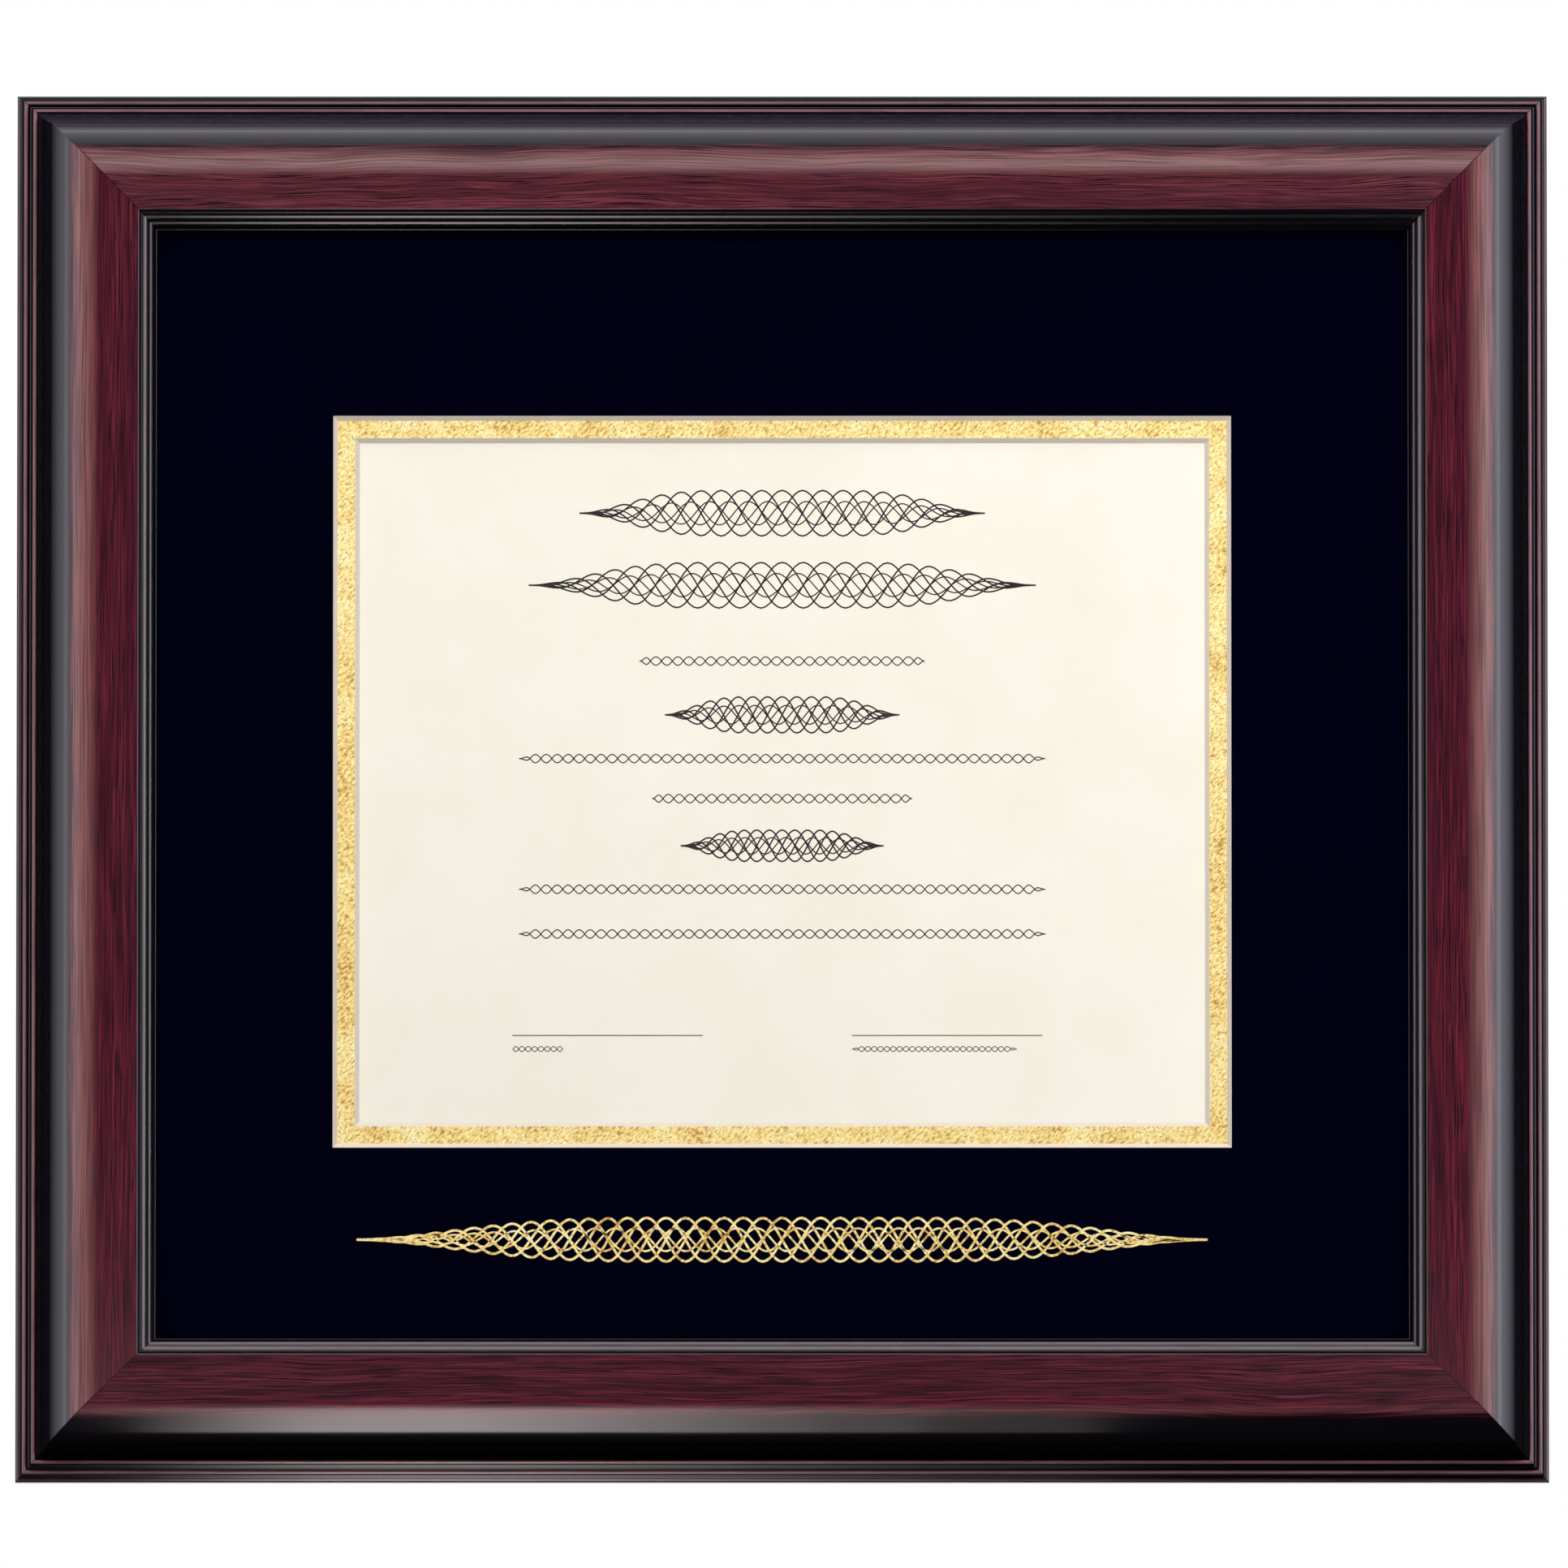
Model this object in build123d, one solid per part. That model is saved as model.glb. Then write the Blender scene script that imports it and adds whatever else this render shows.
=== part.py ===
from build123d import *
import os
from math import asin, cos, degrees, radians, sin, tan

# A wall-hung certificate frame, in millimetres: a mitred moulding round glass, two mats and a
# certificate, closed by a board under turn buttons, with ring hangers and bumpers behind.
# X runs along the width and Z up. The glass faces -Y and the wall lies at +Y.
# The origin is the centre of the whole frame's box.

# Certificate, and the film pockets that hold its corners
certificate_width = 279.4
certificate_height = 228.6
certificate_thickness = 0.3
pocket_leg = 12.0
pocket_film = 0.12
pocket_slack = 0.1

# Mats: the inner one covers the certificate's edges, the outer one leaves a strip of it showing.
# The lower border is the widest, as mats are usually cut, so the window sits above the centre.
mat_thickness = 1.4
mat_bevel_angle = 45.0
certificate_cover = 6.4
inner_mat_reveal = 5.5
mat_border_side = 55.7
mat_border_top = 58.6
mat_border_bottom = 61.0

# The rest of the package in the rabbet
glass_thickness = 2.0
mounting_board_thickness = 4.8
backing_board_thickness = 2.5
package_clearance = 0.8

# Moulding: overall section and rabbet
moulding_width = 44.2
moulding_height = 26.0
rabbet_width = 6.5

# Moulding: outer edge and the reeds that climb from it, each a small fillet and a bead
edge_height = 3.4
edge_nose_radius = 0.9
edge_tread = 1.2
reed_count = 2
reed_fillet_rise = 1.2
reed_fillet_width = 0.8
reed_bead_rise = 2.7
reed_bead_width = 1.5
reed_bead_radius = 0.65
reed_quirk_depth = 0.8
reed_quirk_width = 0.6

# Moulding: shelf and riser behind the reeds, and the roll that the riser carries
shelf_width = 1.5
riser_foot_radius = 0.4
riser_run = 3.0
riser_top_height = 20.0
crown_position = 21.5
slope_angle = 13.4

# Moulding: stepped lip at the sight edge
lip_quirk_depth = 0.8
lip_fillet_width = 1.0
lip_fillet_drop = 1.1
lip_ovolo_width = 1.7
lip_ovolo_radius = 1.4
lip_ovolo_drop = 1.9
lip_edge_width = 1.2
lip_edge_thickness = 2.2

# V nails across the mitres, each driven in flush from behind
nail_leg = 5.0
nail_thickness = 0.6
nail_depth = 10.0
nail_positions = (16.0, 31.0)

# Wood screws, with few sides round the head and shank because they repeat
screw_shank_radius = 1.5
screw_shank_side_count = 8
screw_head_radius = 3.2
screw_head_side_count = 16
screw_head_height = 2.0
screw_crown_radius = 2.2
screw_rim_height = 0.6
screw_bite = 9.0
screw_tip = 2.5
screw_recess_width = 0.9
screw_recess_length = 3.4
screw_recess_depth = 1.2
pilot_clearance = 0.05
pilot_extra_depth = 0.5

# Turn buttons: flat steel arms that turn on a screw and hold the backing board in
button_thickness = 1.0
button_hub_radius = 5.5
button_tip_radius = 4.0
button_reach = 15.0
button_bend_at = 11.0
button_bend_angle = 18.0
button_hole_clearance = 0.3
button_seat_clearance = 0.1
button_set_back = 7.5
button_end_distance_long = 126.5
button_end_distance_short = 154.0

# Ring hangers: a strap folded round the straight side of a D ring
strap_sheet = 0.9
strap_width = 11.0
strap_length = 31.0
strap_fold_length = 5.0
strap_head_gap = 0.4
strap_hole_pitch = 15.5
strap_hole_clearance = 0.3
ring_wire_radius = 1.25
ring_wire_side_count = 12
ring_width = 18.0
ring_length = 14.0
ring_corner_radius = 2.6
ring_corner_run_count = 4
ring_bow_run_count = 16
ring_bore_clearance = 0.2
ring_rest_clearance = 0.3
hanger_drop = 79.0
hanger_inset = 19.0

# Bumpers that hold the lower corners off the wall
bumper_radius = 5.5
bumper_height = 5.5
bumper_chamfer = 1.2
bumper_inset = 20.0

# Sizes worked out from those above
bevel_run = mat_thickness * tan(radians(mat_bevel_angle))
inner_window_width = certificate_width - 2 * certificate_cover
inner_window_height = certificate_height - 2 * certificate_cover
outer_window_width = inner_window_width + 2 * (bevel_run + inner_mat_reveal)
outer_window_height = inner_window_height + 2 * (bevel_run + inner_mat_reveal)
sight_width = outer_window_width + 2 * (bevel_run + mat_border_side)
sight_height = outer_window_height + 2 * bevel_run + mat_border_top + mat_border_bottom
window_rise = (mat_border_bottom - mat_border_top) / 2
package_width = sight_width + 2 * (rabbet_width - package_clearance)
package_height = sight_height + 2 * (rabbet_width - package_clearance)
frame_width = sight_width + 2 * moulding_width
frame_height = sight_height + 2 * moulding_width
pocket_thickness = certificate_thickness + 2 * pocket_film
rabbet_wall = moulding_width - rabbet_width

# Heights of the package's layers above the back of the moulding, from the backing board forwards
mounting_board_back = backing_board_thickness
pocket_back = mounting_board_back + mounting_board_thickness
certificate_back = pocket_back + pocket_film
inner_mat_back = pocket_back + pocket_thickness
outer_mat_back = inner_mat_back + mat_thickness
glass_back = outer_mat_back + mat_thickness
rabbet_depth = glass_back + glass_thickness

# The back of the moulding in Y: the box reaches from the crown to the bumpers' faces
back_y = (moulding_height - bumper_height) / 2

# Each side's length, the distance of its outer edge from the centre, and its turn about Y
sides = {
    "top": (frame_width, frame_height / 2, 0),
    "right": (frame_height, frame_width / 2, 90),
    "bottom": (frame_width, frame_height / 2, 180),
    "left": (frame_height, frame_width / 2, 270),
}


def moulding_section():
    """Section of the moulding: X inwards from the outer edge, Y up from the back."""
    outline = [(rabbet_wall, 0), (0, 0), (0, edge_height)]
    radii = [0, edge_nose_radius]
    bead_radius = min(reed_bead_radius, 0.45 * reed_bead_width, 0.9 * reed_quirk_depth)
    across = edge_tread
    up = edge_height
    for _ in range(reed_count):
        fillet_top = up + reed_fillet_rise
        bead_foot = across + reed_fillet_width
        bead_top = fillet_top + reed_bead_rise
        bead_end = bead_foot + reed_bead_width
        quirk = bead_top - reed_quirk_depth
        outline += [(across, up), (across, fillet_top), (bead_foot, fillet_top)]
        outline += [(bead_foot, bead_top), (bead_end, bead_top), (bead_end, quirk)]
        radii += [0, 0, 0, bead_radius, bead_radius, 0]
        across = bead_end + reed_quirk_width
        up = quirk
    riser_foot = bead_end + shelf_width
    roll_start = (riser_foot + riser_run, riser_top_height)
    outline += [(riser_foot, up), roll_start]
    radii += [min(riser_foot_radius, shelf_width)]

    # The roll is one arc, from the riser's top over the crown to where it meets the slope
    run = crown_position - roll_start[0]
    rise = moulding_height - riser_top_height
    roll_radius = (run**2 + rise**2) / (2 * rise)
    slope = radians(slope_angle)
    slope_start = (
        crown_position + roll_radius * sin(slope),
        moulding_height - roll_radius * (1 - cos(slope)),
    )

    lip_start = moulding_width - lip_edge_width - 2 * lip_ovolo_width - lip_fillet_width
    slope_end = slope_start[1] - tan(slope) * (lip_start - slope_start[0])
    fillet_top = slope_end - lip_quirk_depth
    fillet_end = lip_start + lip_fillet_width
    first_ovolo = fillet_top - lip_fillet_drop
    first_ovolo_end = fillet_end + lip_ovolo_width
    second_ovolo = first_ovolo - lip_ovolo_drop
    second_ovolo_end = first_ovolo_end + lip_ovolo_width
    sight_edge = rabbet_depth + lip_edge_thickness
    lip = {
        slope_start: 0,
        (lip_start, slope_end): 0,
        (lip_start, fillet_top): 0,
        (fillet_end, fillet_top): 0,
        (fillet_end, first_ovolo): 0,
        (first_ovolo_end, first_ovolo): lip_ovolo_radius,
        (first_ovolo_end, second_ovolo): 0,
        (second_ovolo_end, second_ovolo): lip_ovolo_radius,
        (second_ovolo_end, sight_edge): 0,
        (moulding_width, sight_edge): 0,
        (moulding_width, rabbet_depth): 0,
        (rabbet_wall, rabbet_depth): 0,
        (rabbet_wall, 0): 0,
    }
    outer_edge = FilletPolyline(*outline, radius=radii)
    roll = ThreePointArc(roll_start, (crown_position, moulding_height), slope_start)
    inner_edge = FilletPolyline(*lip, radius=list(lip.values())[1:-1])
    return make_face(outer_edge.edges() + roll.edges() + inner_edge.edges())


def rail(length, edge_distance):
    """A rail lying along X, its outer edge this far above the centre, with its ends mitred."""
    section_plane = Plane(origin=(0, back_y, edge_distance), x_dir=(0, 0, -1), z_dir=(-1, 0, 0))
    bar = extrude(section_plane * moulding_section(), length / 2, both=True)
    inner_length = length - 2 * moulding_width
    inner_distance = edge_distance - moulding_width
    mitres = Polyline(
        (-length / 2, edge_distance),
        (length / 2, edge_distance),
        (inner_length / 2, inner_distance),
        (-inner_length / 2, inner_distance),
        close=True,
    )
    return bar & extrude(Plane.XZ * make_face(mitres.edges()), 2 * moulding_height, both=True)


def layer_plane(height, rise=0):
    """A plane that faces the front, this far in front of the moulding's back and above the centre."""
    return Plane(origin=(0, back_y - height, rise), x_dir=(1, 0, 0), z_dir=(0, -1, 0))


def board(width, height, back, thickness, rise=0):
    """A flat sheet whose back lies this far in front of the moulding's back."""
    return extrude(layer_plane(back, rise) * Rectangle(width, height), thickness)


def mat(window_width, window_height, back):
    """A mat board whose window is cut at a slant, so that it widens towards the front."""
    narrow = layer_plane(back, window_rise) * Rectangle(window_width, window_height)
    wide_width = window_width + 2 * bevel_run
    wide_height = window_height + 2 * bevel_run
    wide = layer_plane(back + mat_thickness, window_rise) * Rectangle(wide_width, wide_height)
    return board(package_width, package_height, back, mat_thickness) - loft([narrow, wide])


def corner_pocket(to_right, to_top):
    """A folded film triangle that holds one corner of the certificate."""
    margin = pocket_slack + pocket_film
    corner_x = to_right * (certificate_width / 2 + margin)
    corner_z = to_top * (certificate_height / 2 + margin)
    triangle = Polyline(
        (corner_x, corner_z),
        (corner_x - to_right * pocket_leg, corner_z),
        (corner_x, corner_z - to_top * pocket_leg),
        close=True,
    )
    pocket_plane = layer_plane(pocket_back, window_rise)
    pocket = extrude(pocket_plane * make_face(triangle.edges()), pocket_thickness)
    slot_width = certificate_width + 2 * pocket_slack
    slot_height = certificate_height + 2 * pocket_slack
    return pocket - board(slot_width, slot_height, certificate_back, certificate_thickness, window_rise)


def v_nail(to_right, to_top, position):
    """A V nail across one mitre, its point this far inside both outer edges."""
    half = nail_thickness / 2
    point_x = frame_width / 2 - position
    point_z = frame_height / 2 - position
    strip = [(-half, -half), (nail_leg, -half), (nail_leg, half)]
    strip += [(half, half), (half, nail_leg), (-half, nail_leg)]
    corners = [(to_right * (point_x + x), to_top * (point_z + z)) for x, z in strip]
    return extrude(layer_plane(0) * make_face(Polyline(*corners, close=True).edges()), nail_depth)


def screw(seat):
    """A pan-head wood screw pointing down -Z, its head seated this high above the wood."""
    head = RegularPolygon(screw_head_radius, screw_head_side_count)
    crown = Pos(0, 0, screw_head_height) * RegularPolygon(screw_crown_radius, screw_head_side_count)
    body = extrude(head, screw_rim_height) + loft([Pos(0, 0, screw_rim_height) * head, crown])
    shank = RegularPolygon(screw_shank_radius, screw_shank_side_count)
    shank_end = screw_bite + seat
    body += extrude(shank, -(shank_end - screw_tip))
    body += loft([Pos(0, 0, screw_tip - shank_end) * shank, Vertex(0, 0, -shank_end)])
    slot = Box(screw_recess_length, screw_recess_width, 2 * screw_recess_depth)
    for turn in (0, 90):
        body -= Pos(0, 0, screw_head_height) * Rot(0, 0, turn) * slot
    return Pos(0, 0, seat) * body


def pilot_hole():
    """The hole in the wood for one screw, pointing down -Z from the surface."""
    hole = RegularPolygon(screw_shank_radius + pilot_clearance, screw_shank_side_count)
    return extrude(hole, -(screw_bite + pilot_extra_depth))


def turn_button():
    """A turn button lying on the wood at Z 0, its screw at the origin and its arm along +Y."""
    tip = Pos(0, button_reach) * Circle(button_tip_radius)
    outline = make_hull(Circle(button_hub_radius).edges() + tip.edges())
    arm_end = button_reach + button_tip_radius
    lift = (arm_end - button_bend_at) * tan(radians(button_bend_angle))
    low = button_seat_clearance
    high = low + button_thickness
    bent_strip = Polyline(
        (-button_hub_radius, low),
        (button_bend_at, low),
        (arm_end, low + lift),
        (arm_end, high + lift),
        (button_bend_at, high),
        (-button_hub_radius, high),
        close=True,
    )
    arm = extrude(Plane.YZ * make_face(bent_strip.edges()), button_hub_radius, both=True)
    arm &= extrude(outline, high + lift)
    return arm - Cylinder(screw_shank_radius + button_hole_clearance, 2 * high)


ring_axis_height = ring_wire_radius + ring_bore_clearance + strap_sheet
strap_hole_first = strap_fold_length + strap_head_gap + screw_head_radius
strap_hole_places = (strap_hole_first, strap_hole_first + strap_hole_pitch)


def hanger_strap():
    """A strap lying on the wood at Z 0, folded round the ring's axis at Y 0, running along +Y."""
    bore = ring_wire_radius + ring_bore_clearance
    fold = Pos(0, ring_axis_height) * Circle(bore + strap_sheet)
    pinch = Line((strap_fold_length, 0), (strap_fold_length, 2 * strap_sheet))
    eye = Pos(0, ring_axis_height) * Circle(bore)
    eye_end = strap_fold_length - 2 * strap_sheet
    eye_pinch = Line((eye_end, strap_sheet), (eye_end, 1.2 * strap_sheet))
    side = make_hull(fold.edges() + pinch.edges())
    side += Pos(strap_length / 2, strap_sheet) * Rectangle(strap_length, 2 * strap_sheet)
    side -= make_hull(eye.edges() + eye_pinch.edges())
    strap = extrude(Plane.YZ * side, strap_width / 2, both=True)

    end_radius = strap_width / 2
    straight = strap_length - end_radius + ring_axis_height
    middle = straight / 2 - ring_axis_height
    outline = Pos(0, middle) * Rectangle(strap_width, straight)
    outline += Pos(0, strap_length - end_radius) * Circle(end_radius)
    strap &= extrude(outline, 2 * ring_axis_height)
    for place in strap_hole_places:
        strap -= Pos(0, place) * Cylinder(screw_shank_radius + strap_hole_clearance, 4 * strap_sheet)
    return strap


def hanger_ring():
    """A D ring whose straight side lies on the strap's axis and whose bow leans on the wood."""
    half = ring_width / 2
    corner = half - ring_corner_radius
    path = [(0, 0)]
    for turn in range(ring_corner_run_count + 1):
        angle = radians(90 - 90 * turn / ring_corner_run_count)
        across = corner + ring_corner_radius * cos(angle)
        path.append((across, ring_corner_radius * (sin(angle) - 1)))
    for turn in range(ring_bow_run_count + 1):
        angle = radians(180 * turn / ring_bow_run_count)
        path.append((half * cos(angle), half - ring_length - half * sin(angle)))
    path += [(-across, along) for across, along in reversed(path[1 : ring_corner_run_count + 2])]
    wire = Plane.YZ * RegularPolygon(ring_wire_radius, ring_wire_side_count)
    ring = sweep(wire, path=Wire.make_polygon(path, close=True), transition=Transition.RIGHT)
    lean_height = ring_axis_height - ring_wire_radius - ring_rest_clearance
    lean = degrees(asin(lean_height / ring_length))
    return Pos(0, 0, ring_axis_height) * Rot(lean, 0, 0) * ring


def bumper():
    """A round bumper standing on the wood at Z 0, its outer edge chamfered."""
    disc = Pos(0, 0, bumper_height / 2) * Cylinder(bumper_radius, bumper_height)
    return chamfer(disc.edges().sort_by(Axis.Z)[-1], bumper_chamfer)


def behind(x, z):
    """Place on the moulding's back: local +Z points at the wall and local +Y points down."""
    return Pos(x, back_y, z) * Rot(-90, 0, 0)


# Everything in place, node by node
nodes = {}
v_nails = [v_nail(r, t, p) for r in (-1, 1) for t in (-1, 1) for p in nail_positions]
hanger_x = frame_width / 2 - hanger_inset
hanger_z = frame_height / 2 - hanger_drop
hanger_places = {"left": behind(-hanger_x, hanger_z), "right": behind(hanger_x, hanger_z)}
hanger_screw_places = {
    side: [place * Pos(0, hole) for hole in strap_hole_places] for side, place in hanger_places.items()
}

button_ends = {
    "top": ("left", "right"),
    "right": ("upper", "lower"),
    "bottom": ("right", "left"),
    "left": ("lower", "upper"),
}
button_screws = []
for side, (length, edge_distance, turn) in sides.items():
    long_side = side in ("top", "bottom")
    end_distance = button_end_distance_long if long_side else button_end_distance_short
    button_x = length / 2 - end_distance
    button_z = edge_distance - rabbet_wall + button_set_back
    places = [Rot(0, turn, 0) * behind(x, button_z) for x in (-button_x, button_x)]
    for end, place in zip(button_ends[side], places):
        nodes[f"turn_button_{side}_{end}"] = place * turn_button()
        button_screws.append(place * screw(2 * button_seat_clearance + button_thickness))
    moulding = Rot(0, turn, 0) * rail(length, edge_distance)
    for hole_place in places + hanger_screw_places.get(side, []):
        moulding -= hole_place * pilot_hole()
    for nail in v_nails:
        moulding -= nail
    nodes[f"rail_{side}"] = moulding

nodes["v_nails"] = Compound(children=v_nails)
nodes["turn_button_screws"] = Compound(children=button_screws)
nodes["glass"] = board(package_width, package_height, glass_back, glass_thickness)
nodes["outer_mat"] = mat(outer_window_width, outer_window_height, outer_mat_back)
nodes["inner_mat"] = mat(inner_window_width, inner_window_height, inner_mat_back)
nodes["certificate"] = board(
    certificate_width, certificate_height, certificate_back, certificate_thickness, window_rise
)
nodes["corner_pockets"] = Compound(children=[corner_pocket(r, t) for r in (-1, 1) for t in (-1, 1)])
nodes["mounting_board"] = board(
    package_width, package_height, mounting_board_back, mounting_board_thickness
)
nodes["backing_board"] = board(package_width, package_height, 0, backing_board_thickness)

hanger_screws = []
for side, place in hanger_places.items():
    nodes[f"hanger_strap_{side}"] = place * hanger_strap()
    nodes[f"hanger_ring_{side}"] = place * hanger_ring()
    hanger_screws += [spot * screw(2 * strap_sheet) for spot in hanger_screw_places[side]]
nodes["hanger_screws"] = Compound(children=hanger_screws)

bumper_x = frame_width / 2 - bumper_inset
bumper_z = bumper_inset - frame_height / 2
nodes["bumper_left"] = behind(-bumper_x, bumper_z) * bumper()
nodes["bumper_right"] = behind(bumper_x, bumper_z) * bumper()

os.makedirs("parts", exist_ok=True)
for name, shape in nodes.items():
    export_step(shape, f"parts/{name}.step")
    print(name, len(shape.solids()), round(shape.volume, 1))
print("frame", round(frame_width, 2), round(frame_height, 2))
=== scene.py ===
# %% [markdown]
# # Dressing a certificate frame
# The CAD model gives this frame its skeleton: four mitred rails, glass, two mats, a sheet of
# paper, the boards behind it and the hardware that closes and hangs it. Here that skeleton is
# loaded as it is, and every surface that shows gets its finish. Lengths of the frame are in
# millimetres, as mouldings are drawn, and become metres only where a mesh is made.

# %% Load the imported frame
import math

import bmesh
import bpy
from mathutils import Matrix, Vector


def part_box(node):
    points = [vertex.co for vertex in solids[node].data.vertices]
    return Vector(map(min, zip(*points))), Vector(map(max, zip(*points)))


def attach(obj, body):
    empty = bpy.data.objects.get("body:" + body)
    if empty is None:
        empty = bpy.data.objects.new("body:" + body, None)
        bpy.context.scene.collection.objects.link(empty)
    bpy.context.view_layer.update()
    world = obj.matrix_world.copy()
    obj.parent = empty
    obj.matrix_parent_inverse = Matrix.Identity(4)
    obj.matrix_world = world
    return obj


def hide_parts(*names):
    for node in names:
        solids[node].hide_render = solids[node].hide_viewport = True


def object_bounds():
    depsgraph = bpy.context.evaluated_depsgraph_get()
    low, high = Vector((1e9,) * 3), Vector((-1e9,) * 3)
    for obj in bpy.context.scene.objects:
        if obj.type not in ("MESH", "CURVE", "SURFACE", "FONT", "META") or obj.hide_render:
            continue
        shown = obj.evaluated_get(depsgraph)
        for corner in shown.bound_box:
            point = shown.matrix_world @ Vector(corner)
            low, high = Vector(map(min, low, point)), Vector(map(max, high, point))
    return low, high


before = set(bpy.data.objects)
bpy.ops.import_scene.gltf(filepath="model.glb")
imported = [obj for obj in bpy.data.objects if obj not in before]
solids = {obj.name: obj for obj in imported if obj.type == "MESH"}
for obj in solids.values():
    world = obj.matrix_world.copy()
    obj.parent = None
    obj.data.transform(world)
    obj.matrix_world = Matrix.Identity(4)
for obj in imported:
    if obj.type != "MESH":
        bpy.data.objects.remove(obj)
cad_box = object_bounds()
MM = 0.001


def box_of(node):
    """Lowest and highest corner of a solid, in millimetres."""
    return [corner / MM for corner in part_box(node)]


WIDTH = (cad_box[1].x - cad_box[0].x) / MM
HEIGHT = (cad_box[1].z - cad_box[0].z) / MM
BACK = box_of("backing_board")[1].y
print("solids:", len(solids), "width:", round(WIDTH, 2), "height:", round(HEIGHT, 2))

# %% [markdown]
# Every finish below is a tree of shader nodes. Nodes could be placed one by one, with a line for
# each link, but then the sums are hard to read. So one small class wraps a socket and gives it the
# usual operators: `1 - mask` or `tone * 0.4 + fibre` then adds the Math nodes by itself. All the
# other nodes come from one method, which sets a node's own settings first and its inputs after.

# %% Sockets that can be added and multiplied
class Socket:
    """One output of a shader node, used like a number."""

    def __init__(self, finish, output):
        self.finish = finish
        self.output = output

    def sum(self, operation, first, second):
        return self.finish.node("Math", {"operation": operation}, {0: first, 1: second})

    def __add__(self, other):
        return self.sum("ADD", self, other)

    def __radd__(self, other):
        return self.sum("ADD", other, self)

    def __sub__(self, other):
        return self.sum("SUBTRACT", self, other)

    def __rsub__(self, other):
        return self.sum("SUBTRACT", other, self)

    def __mul__(self, other):
        return self.sum("MULTIPLY", self, other)

    def __rmul__(self, other):
        return self.sum("MULTIPLY", other, self)


class Finish:
    """A tree of shader nodes: a material's, or the world's when that is given."""

    def __init__(self, name, world=None):
        self.owner = world or bpy.data.materials.new(name)
        self.owner.use_nodes = True
        self.tree = self.owner.node_tree
        self.tree.nodes.clear()

    def node(self, kind, settings=None, inputs=None, output=0):
        """A node of any kind, as the socket of one of its outputs."""
        made = self.tree.nodes.new("ShaderNode" + kind)
        for key, value in (settings or {}).items():
            if key == "stops":
                stops = made.color_ramp.elements
                while len(stops) < len(value):
                    stops.new(1.0)
                for stop, (place, colour) in zip(stops, value):
                    stop.position = place
                    stop.color = colour
            else:
                setattr(made, key, value)
        for key, value in (inputs or {}).items():
            if isinstance(value, Socket):
                self.tree.links.new(value.output, made.inputs[key])
            else:
                made.inputs[key].default_value = value
        return Socket(self, made.outputs[output]) if made.outputs else None

    def parts(self, vector):
        """The three numbers of a vector."""
        split = self.node("SeparateXYZ", None, {"Vector": vector}).output.node
        return [Socket(self, out) for out in split.outputs]


print("a socket takes + - and *, on either side")

# %% [markdown]
# A few node set-ups come back in most finishes: noise at a place, a soft step between two values,
# a blend of two colours and a ramp of colours. Node groups could hold them, but a short Python
# function for each is easier to read, and a finish then reads as a recipe. Colours are written as
# they look on a screen, from 0 to 255, and become the linear values that a renderer works with.

# %% Short names for noise, steps and colours
def tint(red, green, blue):
    """A screen colour as the linear colour that shaders use."""
    parts = [c / 255 for c in (red, green, blue)]
    return (*[c / 12.92 if c < 0.04045 else ((c + 0.055) / 1.055) ** 2.4 for c in parts], 1.0)


def noise(finish, x, y, z, detail=3.0, roughness=0.55, scale=1.0):
    """Cloudy noise about 0.5, at a place in space."""
    at = finish.node("CombineXYZ", None, {"X": x, "Y": y, "Z": z})
    inputs = {"Vector": at, "Scale": scale, "Detail": detail, "Roughness": roughness}
    return finish.node("TexNoise", {"noise_dimensions": "3D"}, inputs)


def step(finish, value, low, high, start=0.0, end=1.0):
    """A soft step: start below low, end above high."""
    inputs = {"Value": value, "From Min": low, "From Max": high, "To Min": start, "To Max": end}
    return finish.node("MapRange", {"interpolation_type": "SMOOTHSTEP"}, inputs)


def blend(finish, share, first, second):
    """The first colour where share is 0 and the second where it is 1."""
    inputs = {0: share, 6: first, 7: second}
    return finish.node("Mix", {"data_type": "RGBA", "clamp_factor": True}, inputs, 2)


def ramp(finish, share, *stops):
    """A colour between those of the (place, colour) stops."""
    return finish.node("ValToRGB", {"stops": stops}, {"Fac": share})


def bump(finish, height, depth, strength=1.0):
    """A Bump node for a height from 0 to 1 that stands for a depth in millimetres."""
    inputs = {"Height": height, "Distance": depth * MM, "Strength": strength}
    return finish.node("Bump", None, inputs, "Normal")


def surface(finish, colour, roughness, relief=None, others=None):
    """Ends a finish with one Principled shader and gives back its material."""
    inputs = {"Base Color": colour, "Roughness": roughness, **(others or {})}
    if relief:
        inputs["Normal"] = relief
    shader = finish.node("BsdfPrincipled", None, inputs)
    finish.node("OutputMaterial", None, {"Surface": shader})
    return finish.owner


def millimetres(finish):
    """The place on a piece, in millimetres, as its three parts."""
    at = finish.node("TexCoord", None, None, "Object")
    return [part * (1 / MM) for part in finish.parts(at)]


print("a mid grey is", [round(c, 3) for c in tint(128, 128, 128)])

# %% [markdown]
# Each piece is a mesh made from a list of points. It needs the same few steps every time: faces
# that look outwards, smooth shading that stops at real edges, a body to ride on, the solid that it
# stands for and the finishes that it wears. One function does them all.
# Blender's own primitives would give boxes and tubes, but here most pieces are rings of points
# that follow one another, so the faces between such rings have a function too.

# %% From points to a piece that rides on a body
def walls(first, second, count):
    """Faces between two closed rings of points that start at these places in the list."""
    steps = [(n, (n + 1) % count) for n in range(count)]
    return [(first + m, first + n, second + n, second + m) for n, m in steps]


def tube(count, laps, first=0):
    """Faces of a closed tube of rings in a row: its two ends and the walls between them."""
    starts = [first + count * lap for lap in range(laps + 1)]
    faces = [tuple(range(first, first + count)), tuple(reversed(range(starts[-1], starts[-1] + count)))]
    for start, after in zip(starts, starts[1:]):
        faces += walls(start, after, count)
    return faces


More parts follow.
